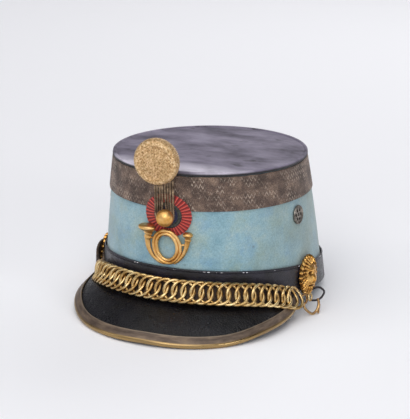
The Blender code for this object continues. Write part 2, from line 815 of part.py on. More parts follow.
def build_end_fittings(material):
    """The ring in the chain's last link, and the wire hook that runs through it to the boss."""
    radius = (END_RING - HOOK_WIRE) / 2
    beyond = LINK_LENGTH / 2 - WIRE + radius - HOOK_WIRE / 2 - GAP
    turn = Matrix.Rotation(math.radians(END_RING_TURN), 4, "X")
    ring = chain_path()[-1] @ Matrix.Translation((beyond, 0.0, 0.0)) @ turn
    points = [ring @ Vector((radius * math.cos(t), radius * math.sin(t), 0.0)) for t in angles(10)]
    add_piece("end_ring", tube(points, [HOOK_WIRE / 2] * len(points), 5, wrap=True), material, 80.0)
    inside = radius - HOOK_WIRE - GAP
    points = [ring @ Vector((0.0, -inside, across)) for across in (-HOOK_WIRE, 0.0, HOOK_WIRE)]
    points += [beside_wall(math.radians(degrees), out, up) for degrees, out, up in HOOK_ROUTE]
    add_piece("chain_hook", tube(points, [HOOK_WIRE / 2] * len(points), 6), material, 80.0)


def settle(hat):
    """Tip the hat back until its rim and its peak both touch the table, then centre its box."""
    bpy.context.view_layer.update()
    rim = [vertex.co.copy() for vertex in bpy.data.objects["body_shell"].data.vertices]
    edge = [vertex.co.copy() for vertex in bpy.data.objects["peak_trim"].data.vertices]
    low, high = 0.0, math.radians(20.0)
    for _ in range(50):
        tilt = (low + high) / 2
        turn = Matrix.Rotation(-tilt, 3, "X")
        if min((turn @ point).z for point in edge) < min((turn @ point).z for point in rim):
            low = tilt
        else:
            high = tilt
    hat.rotation_euler = (-tilt, 0.0, 0.0)
    bpy.context.view_layer.update()
    depsgraph = bpy.context.evaluated_depsgraph_get()
    corners = []
    for piece in bpy.data.objects:
        if piece.type == "MESH" and not piece.hide_render:
            mesh = piece.evaluated_get(depsgraph).to_mesh()
            corners += [piece.matrix_world @ vertex.co for vertex in mesh.vertices]
    middle = [(max(c[k] for c in corners) + min(c[k] for c in corners)) / 2 for k in range(2)]
    hat.location = (-middle[0], -middle[1], -min(c.z for c in corners))


def main():
    clear_scene()
    hat = bpy.data.objects.new("hat", None)
    bpy.context.scene.collection.objects.link(hat)
    cloth = make_material("sky_blue_cloth", (0.29, 0.45, 0.50), 0.95)
    lace = make_material("tarnished_lace", (0.16, 0.12, 0.10), 0.6, 0.3)
    leather = make_material("black_leather", (0.012, 0.011, 0.016), 0.35)
    crown_leather = make_material("crown_leather", (0.045, 0.045, 0.065), 0.35)
    strap_leather = make_material("brown_leather", (0.07, 0.04, 0.02), 0.7)
    brass = make_material("gilt_brass", (0.65, 0.42, 0.15), 0.3, 1.0)
    old_brass = make_material("worn_brass", (0.35, 0.24, 0.12), 0.4, 1.0)
    bullion = make_material("gilt_bullion", (0.50, 0.36, 0.17), 0.5, 0.7)
    silver_cord = make_material("tarnished_cord", (0.17, 0.14, 0.11), 0.5, 0.5)
    red = make_material("red_wool", (0.36, 0.03, 0.02), 0.9)
    grey = make_material("tarnished_silver", (0.10, 0.10, 0.10), 0.6, 0.4)
    blue = make_material("navy_wool", (0.01, 0.01, 0.04), 0.9)
    steel = make_material("vent_metal", (0.35, 0.33, 0.31), 0.4, 1.0)

    build_body_shell(cloth)
    build_crown_top(crown_leather)
    build_bands(lace, leather)
    build_peak(leather)
    build_peak_trim(old_brass)
    build_strap(strap_leather)
    build_chain(brass)
    build_end_fittings(brass)
    build_cockade(red, grey, blue)
    build_ganse(silver_cord)
    build_button(brass)
    build_pompom(bullion)
    build_horn(brass)
    on_band = GAP + BAND_THICKNESS + GAP
    on_strap = on_band + STRAP_THICKNESS + GAP
    for side, label, seat in ((-1, "right", on_strap), (1, "left", on_band)):
        build_boss(f"boss_{label}", side, seat, brass)
        build_vent(f"ventilator_{label}", side, steel)
    settle(hat)


main()
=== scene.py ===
import json
import math
import random
import bpy
from mathutils import Matrix, Vector, noise

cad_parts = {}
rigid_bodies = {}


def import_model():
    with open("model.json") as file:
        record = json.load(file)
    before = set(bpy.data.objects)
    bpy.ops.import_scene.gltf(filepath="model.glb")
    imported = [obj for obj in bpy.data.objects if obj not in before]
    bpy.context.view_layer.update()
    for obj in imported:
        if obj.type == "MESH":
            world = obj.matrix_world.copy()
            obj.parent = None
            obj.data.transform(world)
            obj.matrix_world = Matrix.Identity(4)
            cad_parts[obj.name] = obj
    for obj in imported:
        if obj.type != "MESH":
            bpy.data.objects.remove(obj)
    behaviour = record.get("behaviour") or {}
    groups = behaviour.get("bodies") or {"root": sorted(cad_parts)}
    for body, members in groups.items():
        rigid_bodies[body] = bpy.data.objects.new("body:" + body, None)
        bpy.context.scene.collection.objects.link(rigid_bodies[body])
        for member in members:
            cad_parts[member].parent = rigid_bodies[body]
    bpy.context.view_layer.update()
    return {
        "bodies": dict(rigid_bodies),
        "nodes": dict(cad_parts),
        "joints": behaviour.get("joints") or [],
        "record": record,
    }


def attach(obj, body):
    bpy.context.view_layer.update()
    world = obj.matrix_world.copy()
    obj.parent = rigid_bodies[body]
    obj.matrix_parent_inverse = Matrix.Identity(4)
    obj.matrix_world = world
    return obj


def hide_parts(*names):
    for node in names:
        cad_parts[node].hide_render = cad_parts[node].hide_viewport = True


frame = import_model()
print("frame: CAD solids loaded")

mm = 0.001  # every size below is in metres, written as so many mm
gap = 0.3 * mm  # left between pieces that lie on each other

# The hat's own measures: an oval rim, a smaller oval crown set forward, a straight wall between
hat = {
    "rimHalfWidth": 83.5 * mm,
    "rimHalfLength": 101.5 * mm,
    "crownHalfWidth": 70.5 * mm,
    "crownHalfLength": 91.5 * mm,
    "crownForward": 28 * mm,
    "crownHeight": 98 * mm,
    "crownRise": 12.5 * mm,
    "bulge": 0.9 * mm,
    "wallThickness": 2.4 * mm,
    "laceWidth": 26.2 * mm,
    "laceThickness": 1.0 * mm,
    "bandWidth": 22.2 * mm,
    "bandThickness": 1.5 * mm,
    "bandLift": 0.5 * mm,
    "strapThickness": 1.6 * mm,
    "ventRise": 62.2 * mm,
    "sideAngle": 78.5,  # degrees round from the front, where vents and bosses sit
}

# The hat is modelled level, then tipped back onto its rim and peak like the solids
rimSeat = frame["record"]["mounts"][0]
tipBack = math.atan2(-rimSeat["axis"][1], -rimSeat["axis"][2])
turnHat = Matrix.Rotation(-tipBack, 4, "X")
seatOnHat = Vector((0, hat["rimHalfLength"] - hat["wallThickness"] / 2, 0))
hatPlace = Matrix.Translation(Vector(rimSeat["pos_m"]) - turnHat @ seatOnHat) @ turnHat


# Selection and finishing

def deselectAll():
    if bpy.context.mode != "OBJECT":
        bpy.ops.object.mode_set(mode="OBJECT")
    bpy.ops.object.select_all(action="DESELECT")


def pick(*pieces):
    deselectAll()
    for piece in pieces:
        piece.select_set(True)
    bpy.context.view_layer.objects.active = pieces[0]


def applyModifier(piece, kind, **settings):
    pick(piece)
    modifier = piece.modifiers.new(kind.title(), kind)
    for name, value in settings.items():
        setattr(modifier, name, value)
    bpy.ops.object.modifier_apply(modifier=modifier.name)


def joinPieces(name, pieces):
    pick(*pieces)
    bpy.ops.object.join()
    joined = bpy.context.view_layer.objects.active
    joined.name = name
    joined.data.name = name
    return joined


def editMesh(piece, operation, **settings):
    pick(piece)
    bpy.ops.object.mode_set(mode="EDIT")
    bpy.ops.mesh.select_all(action="SELECT")
    operation(**settings)
    bpy.ops.object.mode_set(mode="OBJECT")


def turnOutwards(piece):
    editMesh(piece, bpy.ops.mesh.normals_make_consistent, inside=False)


def drillHole(piece, place, radius, depth, sides):
    deselectAll()
    bpy.ops.mesh.primitive_cylinder_add(vertices=sides, radius=radius, depth=depth)
    cutter = bpy.context.object
    cutter.data.transform(place)
    applyModifier(piece, "BOOLEAN", operation="DIFFERENCE", object=cutter)
    bpy.data.objects.remove(cutter, do_unlink=True)


def finishPiece(piece, material, nodes=(), smoothAngle=40):
    # puts a piece that was modelled level into the tipped hat's place
    pick(piece)
    piece.data.transform(hatPlace)
    piece.data.materials.clear()
    piece.data.materials.append(material)
    bpy.ops.object.shade_smooth_by_angle(angle=math.radians(smoothAngle))
    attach(piece, "root")
    if nodes:
        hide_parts(*nodes)
    return piece


# Shapes

def addSheet(name, columns, rows, place, widthMm, heightMm, closed=False):
    # a grid whose points place(u, v) sets, for u along its columns and v along its rows
    deselectAll()
    bpy.ops.mesh.primitive_grid_add(x_subdivisions=columns, y_subdivisions=rows, size=1)
    sheet = bpy.context.object
    sheet.name = name
    sheet.data.name = name
    flat = [(vertex.co.x + 0.5, vertex.co.y + 0.5) for vertex in sheet.data.vertices]
    uv = sheet.data.uv_layers.active.data
    for loop in sheet.data.loops:
        u, v = flat[loop.vertex_index]
        uv[loop.index].uv = (u * widthMm, v * heightMm)  # the map is in millimetres
    for vertex, (u, v) in zip(sheet.data.vertices, flat):
        vertex.co = place(u, v)
    if closed:
        editMesh(sheet, bpy.ops.mesh.remove_doubles, threshold=0.001 * mm)
    return sheet


def addWires(name, paths, radius, sides=12, closed=False):
    # round wires along the paths, as one mesh
    deselectAll()
    curve = bpy.data.curves.new(name, "CURVE")
    curve.dimensions = "3D"
    curve.bevel_depth = radius
    curve.bevel_resolution = sides // 2 - 2
    curve.use_fill_caps = True
    for path in paths:
        spline = curve.splines.new("POLY")
        spline.points.add(len(path) - 1)
        spline.use_cyclic_u = closed
        for target, point in zip(spline.points, path):
            target.co = (*point, 1)
    wires = bpy.data.objects.new(name, curve)
    bpy.context.scene.collection.objects.link(wires)
    pick(wires)
    bpy.ops.object.convert(target="MESH")
    return bpy.context.view_layer.objects.active


def addTurned(name, profile, place, columns):
    # a turned shape: the profile's rows are radius and height, closed where the radius is 0
    def spot(u, v):
        radius, height = profile[round(v * (len(profile) - 1))]
        angle = 2 * math.pi * u
        return place @ Vector((radius * math.cos(angle), radius * math.sin(angle), height))

    acrossMm = 2 * max(radius for radius, height in profile) / mm
    turned = addSheet(name, columns, len(profile) - 1, spot, math.pi * acrossMm, acrossMm, closed=True)
    turnOutwards(turned)
    return turned


def addLoft(name, sections):
    # a skin over closed sections that each have as many points, with its two ends filled
    sides = len(sections[0])

    def spot(u, v):
        return sections[round(u * (len(sections) - 1))][round(v * sides) % sides]

    skin = addSheet(name, len(sections) - 1, sides, spot, 1, 1, closed=True)
    editMesh(skin, bpy.ops.mesh.fill_holes, sides=0)
    turnOutwards(skin)
    return skin


def smoothPath(points, steps):
    # more points on a smooth curve through the given ones
    path = []
    last = len(points) - 1
    for i in range(last):
        before, near = points[max(i - 1, 0)], points[i]
        far, after = points[i + 1], points[min(i + 2, last)]
        for k in range(steps):
            t = k / steps
            path.append(0.5 * (2 * near + (far - before) * t
                               + (2 * before - 5 * near + 4 * far - after) * t**2
                               + (3 * near - before - 3 * far + after) * t**3))
    path.append(points[-1])
    return path


def readTable(table, x):
    # a table's other columns at x, on a smooth curve through its rows
    rows = list(table)
    x = min(max(x, rows[0][0]), rows[-1][0])
    i = max(k for k in range(len(rows) - 1) if rows[k][0] <= x)
    near, far = rows[i], rows[i + 1]
    before = rows[i - 1] if i > 0 else near
    after = rows[i + 2] if i + 2 < len(rows) else far
    step = far[0] - near[0]
    t = (x - near[0]) / step
    values = []
    for k in range(1, len(near)):
        start = (far[k] - before[k]) / (far[0] - before[0]) * step
        end = (after[k] - near[k]) / (after[0] - near[0]) * step
        values.append(near[k] * (2 * t**3 - 3 * t**2 + 1) + start * (t**3 - 2 * t**2 + t)
                      + far[k] * (3 * t**2 - 2 * t**3) + end * (t**3 - t**2))
    return values


# The wall of the hat: angle in radians from the front towards +X, share from rim to crown

def crownEdge(angle):
    along = -hat["crownHalfLength"] * math.cos(angle)
    rise = hat["crownRise"] / 2 * along / hat["crownHalfLength"]
    return Vector((hat["crownHalfWidth"] * math.sin(angle), along - hat["crownForward"],
                   hat["crownHeight"] + rise))


def halfAt(share, way):
    # half the oval's Width or Length at a share of the wall's height
    rim, crown = hat["rimHalf" + way], hat["crownHalf" + way]
    return rim + (crown - rim) * share


def outward(angle, share):
    across, along = math.sin(angle) / halfAt(share, "Width"), -math.cos(angle) / halfAt(share, "Length")
    return Vector((across, along, 0)).normalized()


def wallPoint(angle, share, out=0):
    rim = Vector((hat["rimHalfWidth"] * math.sin(angle), -hat["rimHalfLength"] * math.cos(angle), 0))
    bulge = hat["bulge"] * 4 * share * (1 - share)
    return rim.lerp(crownEdge(angle), share) + outward(angle, share) * (out + bulge)


def wallSlant(angle):
    return (crownEdge(angle) - wallPoint(angle, 0)).length


def wallFrame(angle, height, out=0):
    share = height / wallSlant(angle)
    step = 0.001
    across = (wallPoint(angle + step, share) - wallPoint(angle - step, share)).normalized()
    up = (wallPoint(angle, share + step) - wallPoint(angle, share - step)).normalized()
    outOfWall = across.cross(up).normalized()
    up = outOfWall.cross(across)
    place = Matrix((across, up, outOfWall)).transposed().to_4x4()
    place.translation = wallPoint(angle, share) + outOfWall * out
    return place


def sideFrame(side, height, out=0):
    # over an ear: side is 1 at the wearer's left and -1 at the right
    return wallFrame(math.radians(side * hat["sideAngle"]), height, out)


frontSlant = wallSlant(0)


def onFront(across, height, out):
    share = height / frontSlant
    angle = math.asin(across / halfAt(share, "Width"))
    return wallFrame(angle, share * wallSlant(angle)) @ Vector((0, 0, out))


def besideWall(angle, out, up):
    return wallPoint(angle, up / hat["crownHeight"], out)


def roundTurn(count):
    return [2 * math.pi * k / count for k in range(count)]


# Material nodes

def fromHex(code):
    channels = [int(code[i:i + 2], 16) / 255 for i in (1, 3, 5)]
    linear = [c / 12.92 if c <= 0.04045 else ((c + 0.055) / 1.055) ** 2.4 for c in channels]
    return (*linear, 1)


def addNode(tree, kind, settings=None, links=None):
    node = tree.nodes.new(kind)
    for name, value in (settings or {}).items():
        if isinstance(name, str) and hasattr(node, name):
            setattr(node, name, value)
        else:
            node.inputs[name].default_value = value
    for name, source in (links or {}).items():
        tree.links.new(source, node.inputs[name])
    return node


def setInputs(node, values):
    for name, value in values.items():
        node.inputs[name].default_value = value


def newMaterial(name, roughness, metallic=0, sheen=0, coat=0):
    material = bpy.data.materials.new(name)
    material.use_nodes = True
    shader = material.node_tree.nodes["Principled BSDF"]
    setInputs(shader, {"Roughness": roughness, "Metallic": metallic, "Sheen Weight": sheen,
                       "Coat Weight": coat})
    return material, material.node_tree, shader


def objectSpot(tree):
    return addNode(tree, "ShaderNodeTexCoord").outputs["Object"]


def uvSpot(tree):
    return addNode(tree, "ShaderNodeTexCoord").outputs["UV"]


def partOf(tree, vector, axis):
    return addNode(tree, "ShaderNodeSeparateXYZ", {}, {"Vector": vector}).outputs[axis]


def stretchOf(tree, vector, scale):
    return addNode(tree, "ShaderNodeMapping", {"Scale": scale}, {"Vector": vector}).outputs["Vector"]


def noiseOf(tree, spot, sizeMm, detail=3, rough=0.5, unit=1000):
    # unit is 1000 for object coordinates, in metres, and 1 for a map in millimetres
    settings = {"Scale": unit / sizeMm, "Detail": detail, "Roughness": rough}
    return addNode(tree, "ShaderNodeTexNoise", settings, {"Vector": spot}).outputs["Fac"]


def rampOf(tree, source, *stops):
    node = addNode(tree, "ShaderNodeValToRGB", {}, {"Fac": source})
    ramp = node.color_ramp
    while len(ramp.elements) < len(stops):
        ramp.elements.new(0.5)
    for element, (place, colour) in zip(ramp.elements, stops):
        element.position = place
        element.color = fromHex(colour)
    return node.outputs["Color"]


def stepOf(tree, source, low, high, toLow=0.0, toHigh=1.0):
    settings = {"From Min": low, "From Max": high, "To Min": toLow, "To Max": toHigh}
    return addNode(tree, "ShaderNodeMapRange", settings, {"Value": source}).outputs["Result"]


def mathOf(tree, operation, first, second=0.0):
    node = addNode(tree, "ShaderNodeMath", {"operation": operation})
    for index, value in enumerate((first, second)):
        if isinstance(value, (int, float)):
            node.inputs[index].default_value = value
        else:
            tree.links.new(value, node.inputs[index])
    return node.outputs["Value"]


def timesOf(tree, first, second):
    return mathOf(tree, "MULTIPLY", first, second)


def mixOf(tree, factor, first, second, blend="MIX"):
    node = addNode(tree, "ShaderNodeMix", {"data_type": "RGBA", "blend_type": blend})
    for socket, value in ((node.inputs[0], factor), (node.inputs[6], first), (node.inputs[7], second)):
        if isinstance(value, str):
            socket.default_value = fromHex(value)
        elif isinstance(value, (int, float)):
            socket.default_value = value
        else:
            tree.links.new(value, socket)
    return node.outputs[2]


def bumpOf(tree, shader, height, depthMm, strength=1.0):
    settings = {"Strength": strength, "Distance": depthMm * mm}
    bump = addNode(tree, "ShaderNodeBump", settings, {"Height": height})
    tree.links.new(bump.outputs["Normal"], shader.inputs["Normal"])


def setColour(tree, shader, colour):
    tree.links.new(colour, shader.inputs["Base Color"])


def setRoughness(tree, shader, value):
    tree.links.new(value, shader.inputs["Roughness"])


# Felted wool broadcloth, dyed sky blue: matt, a soft nap, faded patches and small stains

def makeWoolCloth():
    wool = {
        "fade": ("#86adba", "#9cc0ca", "#b2c8c4"),
        "tints": (("#84afcb", 15, 0.52), ("#9aaf9f", 20, 0.50)),  # colour, patch in mm, noise it starts from
        "side": "#8a9d97",  # greener and greyer towards the sides
        "stain": "#5f6f72",
        "napMm": 1.1,  # drawn coarser than the real nap of 0.3 mm, so that it shows
    }
    material, tree, shader = newMaterial("feltedWoolCloth", 0.95, sheen=0.35)
    setInputs(shader, {"Sheen Roughness": 0.6, "Specular IOR Level": 0.2})
    spot = objectSpot(tree)
    patches = noiseOf(tree, spot, 24, 5, 0.62)
    low, middle, high = wool["fade"]
    colour = rampOf(tree, patches, (0.34, low), (0.5, middle), (0.66, high))
    for tint, patchMm, start in wool["tints"]:
        amount = stepOf(tree, noiseOf(tree, spot, patchMm, 5, 0.7), start, 0.66, 0.0, 0.6)
        colour = mixOf(tree, amount, colour, tint)
    toSide = stepOf(tree, mathOf(tree, "ABSOLUTE", partOf(tree, spot, "X")), 50 * mm, 88 * mm)
    toSide = timesOf(tree, toSide, stepOf(tree, noiseOf(tree, spot, 17, 3), 0.3, 0.6, 0.35, 0.9))
    colour = mixOf(tree, toSide, colour, wool["side"])
    nap = noiseOf(tree, spot, wool["napMm"], 4, 0.7)
    colour = mixOf(tree, 1.0, colour, rampOf(tree, nap, (0.3, "#c9ced0"), (0.7, "#ffffff")), "MULTIPLY")
    specks = addNode(tree, "ShaderNodeTexVoronoi", {"Scale": 1000 / 16}, {"Vector": spot}).outputs["Distance"]
    speckMask = timesOf(tree, stepOf(tree, specks, 0.03, 0.10, 0.8, 0.0),
                       stepOf(tree, noiseOf(tree, spot, 30, 2), 0.5, 0.58))
    colour = mixOf(tree, speckMask, colour, wool["stain"])
    setColour(tree, shader, colour)
    bumpOf(tree, shader, nap, 0.35, 0.55)
    return material


# Woven metal lace: flat wire zigzags on a ribbed ground, gone brown with tarnish

def makeMetalLace():
    lace = {
        "ground": ("#41352f", "#7b665a", "#b69a84"),
        "thread": "#dccab7",
        "zigzagMm": 3.4,  # along the lace, one whole zigzag
        "rowMm": 4.35,  # six rows in the lace's width
        "ribMm": 0.9,
    }
    material, tree, shader = newMaterial("tarnishedMetalLace", 0.55, 0.35)
    uv = uvSpot(tree)
    along, up = partOf(tree, uv, "X"), partOf(tree, uv, "Y")
    wander = timesOf(tree, mathOf(tree, "SUBTRACT", noiseOf(tree, uv, 5, 2, unit=1), 0.5), 1.1)
    wave = mathOf(tree, "PINGPONG", mathOf(tree, "ADD", along, wander), lace["zigzagMm"] / 2)
    rise = timesOf(tree, wave, lace["rowMm"] * 0.8 / (lace["zigzagMm"] / 2))
    row = mathOf(tree, "DIVIDE", up, lace["rowMm"])
    inRow = timesOf(tree, mathOf(tree, "FRACT", row), lace["rowMm"])
    offLine = mathOf(tree, "ABSOLUTE", mathOf(tree, "SUBTRACT", inRow, rise))
    line = stepOf(tree, offLine, 0.35, 1.0, 1.0, 0.0)
    shown = stepOf(tree, noiseOf(tree, uv, 13, 4, 0.7, 1), 0.48, 0.62)
    glint = stepOf(tree, noiseOf(tree, uv, 1.3, 2, 0.6, 1), 0.35, 0.7, 0.25, 1.0)
    lineMask = timesOf(tree, timesOf(tree, line, shown), glint)
    tarnish = noiseOf(tree, uv, 17, 7, 0.72, 1)
    low, middle, high = lace["ground"]
    ground = rampOf(tree, tarnish, (0.32, low), (0.5, middle), (0.68, high))
    rib = mathOf(tree, "SINE", timesOf(tree, along, 2 * math.pi / lace["ribMm"]))
    thread = noiseOf(tree, uv, 0.8, 3, 0.7, 1)
    ground = mixOf(tree, 1.0, ground, rampOf(tree, thread, (0.3, "#6f6661"), (0.66, "#ffffff")), "MULTIPLY")
    colour = mixOf(tree, timesOf(tree, lineMask, 0.9), ground, lace["thread"])
    setColour(tree, shader, colour)
    setRoughness(tree, shader, stepOf(tree, tarnish, 0.3, 0.7, 0.62, 0.45))
    height = mathOf(tree, "ADD", timesOf(tree, rib, 0.25), mathOf(tree, "ADD", line, thread))
    bumpOf(tree, shader, height, 0.25, 0.6)
    return material


# Polished black leather: a shallow crackled grain under wax, with a bluish bloom

def makeBlackLeather(name, settings):
    leather = {"dark": "#08070b", "crack": "#08070b", "roughness": (0.26, 0.5), "bump": 0.14, "coat": 0.1,
               "specular": 0.5}
    leather.update(settings)
    material, tree, shader = newMaterial(name, 0.4, coat=leather["coat"])
    setInputs(shader, {"Coat Roughness": 0.25, "Specular IOR Level": leather["specular"]})
    spot = objectSpot(tree)
    bloom = noiseOf(tree, spot, 19, 5, 0.6)
    colour = rampOf(tree, bloom, (0.38, leather["dark"]), (0.66, leather["pale"]))
    cells = {"feature": "DISTANCE_TO_EDGE", "Scale": 1000 / leather["grainMm"]}
    grain = addNode(tree, "ShaderNodeTexVoronoi", cells, {"Vector": spot}).outputs["Distance"]
    cracks = stepOf(tree, grain, 0.0, 0.12)
    colour = mixOf(tree, stepOf(tree, cracks, 0.0, 1.0, 0.35, 0.0), colour, leather["crack"])
    setColour(tree, shader, colour)
    low, high = leather["roughness"]
    setRoughness(tree, shader, stepOf(tree, noiseOf(tree, spot, 7, 4, 0.65), 0.3, 0.7, low, high))
    waves = noiseOf(tree, spot, 5, 3, 0.6)
    bumpOf(tree, shader, mathOf(tree, "ADD", cracks, timesOf(tree, waves, 2.5)), leather["bump"], 0.7)
    return material


# Crown leather: the same hide, brushed thin, blue-grey, with a painted highlight band inside the front edge

def makeCrownLeather():
    hide = {
        "dark": "#352f3d", "pale": "#8d8599", "scuff": "#1f1b25", "paintedHighlight": "#dcd6e4", "edge": "#0f0d12",
        "highlightFrom": (-83 * mm, -77 * mm), "highlightTo": (-70 * mm, -50 * mm),  # a painted highlight: a pale band inside the front edge
        "edgeMm": (10, 13),  # up the map, from the underside over the edge: black below, brushed above
    }
    material, tree, shader = newMaterial("crownLeatherPaintedHighlight", 0.4)
    spot = objectSpot(tree)
    brushed = noiseOf(tree, stretchOf(tree, spot, (0.8, 1.1, 1.0)), 27, 6, 0.58)
    colour = rampOf(tree, brushed, (0.24, hide["dark"]), (0.66, hide["pale"]))
    forward = partOf(tree, spot, "Y")
    # painted highlight: a pale band inside the front edge, paler where the brushed noise is high
    inBand = timesOf(tree, stepOf(tree, forward, *hide["highlightTo"], 1.0, 0.0),
                     stepOf(tree, forward, *hide["highlightFrom"]))
    rubAndHighlight = timesOf(tree, inBand, stepOf(tree, brushed, 0.3, 0.5, 0.3, 0.9))
    colour = mixOf(tree, rubAndHighlight, colour, hide["paintedHighlight"])
    scuffs = noiseOf(tree, spot, 15, 3, 0.5)
    colour = mixOf(tree, stepOf(tree, scuffs, 0.62, 0.72, 0.0, 0.8), colour, hide["scuff"])
    onEdge = stepOf(tree, partOf(tree, uvSpot(tree), "Y"), *hide["edgeMm"], 1.0, 0.0)
    colour = mixOf(tree, onEdge, colour, hide["edge"])
    setColour(tree, shader, colour)
    setRoughness(tree, shader, stepOf(tree, brushed, 0.3, 0.7, 0.66, 0.4))
    fine = noiseOf(tree, spot, 1.2, 3, 0.6)
    soft = noiseOf(tree, spot, 26, 2, 0.5)
    bumpOf(tree, shader, mathOf(tree, "ADD", fine, timesOf(tree, soft, 14.0)), 0.06, 0.8)
    return material


# A material of one noise: patch is its size in mm, detail and roughness, stops its colours.
# bump is another such noise, with its depth in mm and its strength.

def makePlain(name, roughness, patch, stops, bump=None, metallic=0, sheen=0):
    material, tree, shader = newMaterial(name, roughness, metallic, sheen)
    spot = objectSpot(tree)
    setColour(tree, shader, rampOf(tree, noiseOf(tree, spot, *patch), *stops))
    if bump:
        *grain, depthMm, strength = bump
        bumpOf(tree, shader, noiseOf(tree, spot, *grain), depthMm, strength)
    return material


# Gilt brass: a thin fire gilding, bright in some patches and browned in others

def makeGilt(name, settings):
    gilt = {"roughness": (0.2, 0.42), "bump": 0.05, "brownFrom": 0.74}
    gilt.update(settings)
    material, tree, shader = newMaterial(name, 0.3, 1.0)
    spot = objectSpot(tree)
    patch = noiseOf(tree, spot, gilt["patchMm"], 4, 0.6)
    stops = (0.38, gilt["bright"]), (0.56, gilt["warm"]), (gilt["brownFrom"], gilt["brown"])
    setColour(tree, shader, rampOf(tree, patch, *stops))
    low, high = gilt["roughness"]
    setRoughness(tree, shader, stepOf(tree, patch, 0.35, 0.7, low, high))
    bumpOf(tree, shader, noiseOf(tree, spot, 2.2, 2, 0.5), gilt["bump"], 0.5)
    return material


# Brass sheet for the peak's edge: the flat has gone brown, its nose is rubbed bright and carries a painted
# highlight.
# The map's height runs across the sheet, from the top edge over the nose to the bottom edge.

def makeEdgeBrass(noseFrom, noseTo):
    sheet = {"tarnish": ("#4b3e35", "#67574a", "#85725f"), "rubAndHighlight": "#a98d60", "lipHighlight": "#8f7f6a"}
    material, tree, shader = newMaterial("tarnishedEdgeBrass", 0.4, 1.0)
    uv = uvSpot(tree)
    across = partOf(tree, uv, "Y")
    stretched = stretchOf(tree, uv, (0.35, 1.0, 1.0))
    patch = noiseOf(tree, stretched, 5, 5, 0.65, 1)
    low, middle, high = sheet["tarnish"]
    colour = rampOf(tree, patch, (0.35, low), (0.5, middle), (0.66, high))
    # painted highlight along the top flange's inner lip
    lipHighlight = stepOf(tree, across, 0.2, 0.9, 0.75, 0.0)
    colour = mixOf(tree, lipHighlight, colour, sheet["lipHighlight"])
    # the nose: rubbed brass with a painted highlight along it, uneven along its length; the same mask makes
    # it more metallic and smoother
    nose = timesOf(tree, stepOf(tree, across, noseFrom, noseFrom + 0.9),
                   stepOf(tree, across, noseTo, noseTo + 0.9, 1.0, 0.0))
    uneven = stepOf(tree, noiseOf(tree, stretched, 14, 3, 0.5, 1), 0.3, 0.55, 0.35, 1.0)
    rubAndHighlight = timesOf(tree, nose, uneven)
    setColour(tree, shader, mixOf(tree, rubAndHighlight, colour, sheet["rubAndHighlight"]))
    setRoughness(tree, shader, mathOf(tree, "ADD", stepOf(tree, patch, 0.3, 0.7, 0.36, 0.52),
                                      timesOf(tree, rubAndHighlight, -0.16)))
    tree.links.new(stepOf(tree, rubAndHighlight, 0.1, 0.7, 0.35, 1.0), shader.inputs["Metallic"])
    bumpOf(tree, shader, patch, 0.08, 0.6)
    return material


# Pleated worsted ribbon, with painted shade in each fold and a painted pink highlight on its ridge. The map's
# width counts the pleats.

def makePleatedRibbon():
    material, tree, shader = newMaterial("pleatedRedRibbon", 0.8, sheen=0.3)
    phase = mathOf(tree, "FRACT", partOf(tree, uvSpot(tree), "X"))
    # painted shade deep in each fold, painted highlight on each ridge
    pleat = rampOf(tree, phase, (0.0, "#2c0609"), (0.2, "#6f1214"), (0.5, "#a02420"), (0.76, "#dc5f50"),
                   (0.88, "#8c1d19"), (1.0, "#2c0609"))
    worn = noiseOf(tree, objectSpot(tree), 5, 3, 0.6)
    setColour(tree, shader, mixOf(tree, stepOf(tree, worn, 0.35, 0.65, 0.0, 0.35), pleat, "#8f1d1c"))
    bumpOf(tree, shader, noiseOf(tree, objectSpot(tree), 0.6, 2, 0.6), 0.15, 0.6)
    return material


# Bullion: fine gilt wire coiled like a spring, cut short and sewn side by side

def makeBullion():
    material, tree, shader = newMaterial("giltBullionWire", 0.45, 0.6)
    spot = objectSpot(tree)
    coil = noiseOf(tree, spot, 1.5, 2, 0.7)
    dirt = noiseOf(tree, spot, 9, 4, 0.6)
    bright = rampOf(tree, coil, (0.3, "#916f44"), (0.46, "#cda775"), (0.66, "#f4dab0"))
    setColour(tree, shader, mixOf(tree, stepOf(tree, dirt, 0.5, 0.75, 0.0, 0.4), bright, "#a88858"))
    bumpOf(tree, shader, coil, 0.35, 0.8)
    return material


woolCloth = makeWoolCloth()
metalLace = makeMetalLace()
bandLeather = makeBlackLeather("waxedBandLeather", {"grainMm": 1.3, "pale": "#232131"})
peakLeather = makeBlackLeather("waxedPeakLeather", {
    "grainMm": 2.0, "dark": "#040305", "pale": "#0e0d14", "bump": 0.2, "roughness": (0.24, 0.4), "coat": 0.0,
    "specular": 0.36})
crownLeather = makeCrownLeather()
chainGilt = makeGilt("giltChainWire", {
    "bright": "#ead09a", "warm": "#bd9a62", "brown": "#6b5029", "patchMm": 7.0, "roughness": (0.25, 0.38),
    "bump": 0.02})
badgeGilt = makeGilt("giltBadgeBrass", {
    "bright": "#efc584", "warm": "#d9a45a", "brown": "#986832", "patchMm": 9.0, "roughness": (0.32, 0.42),
    "bump": 0.008})
buttonGilt = makeGilt("giltButtonBrass", {
    "bright": "#edc07a", "warm": "#dca65a", "brown": "#a97838", "patchMm": 8.0, "roughness": (0.40, 0.48),
    "bump": 0.006})
hookBrass = makeGilt("wornHookBrass", {
    "bright": "#c9a878", "warm": "#a27c52", "brown": "#57402c", "patchMm": 3.0})
redRibbon = makePleatedRibbon()
bullionWire = makeBullion()
# brown strap leather, dry and unpolished
strapLeather = makePlain("drySaddleLeather", 0.75, (6, 5, 0.65),
                         ((0.35, "#241811"), (0.52, "#3f2d20"), (0.7, "#6a5440")), (0.9, 3, 0.6, 0.12, 0.7))
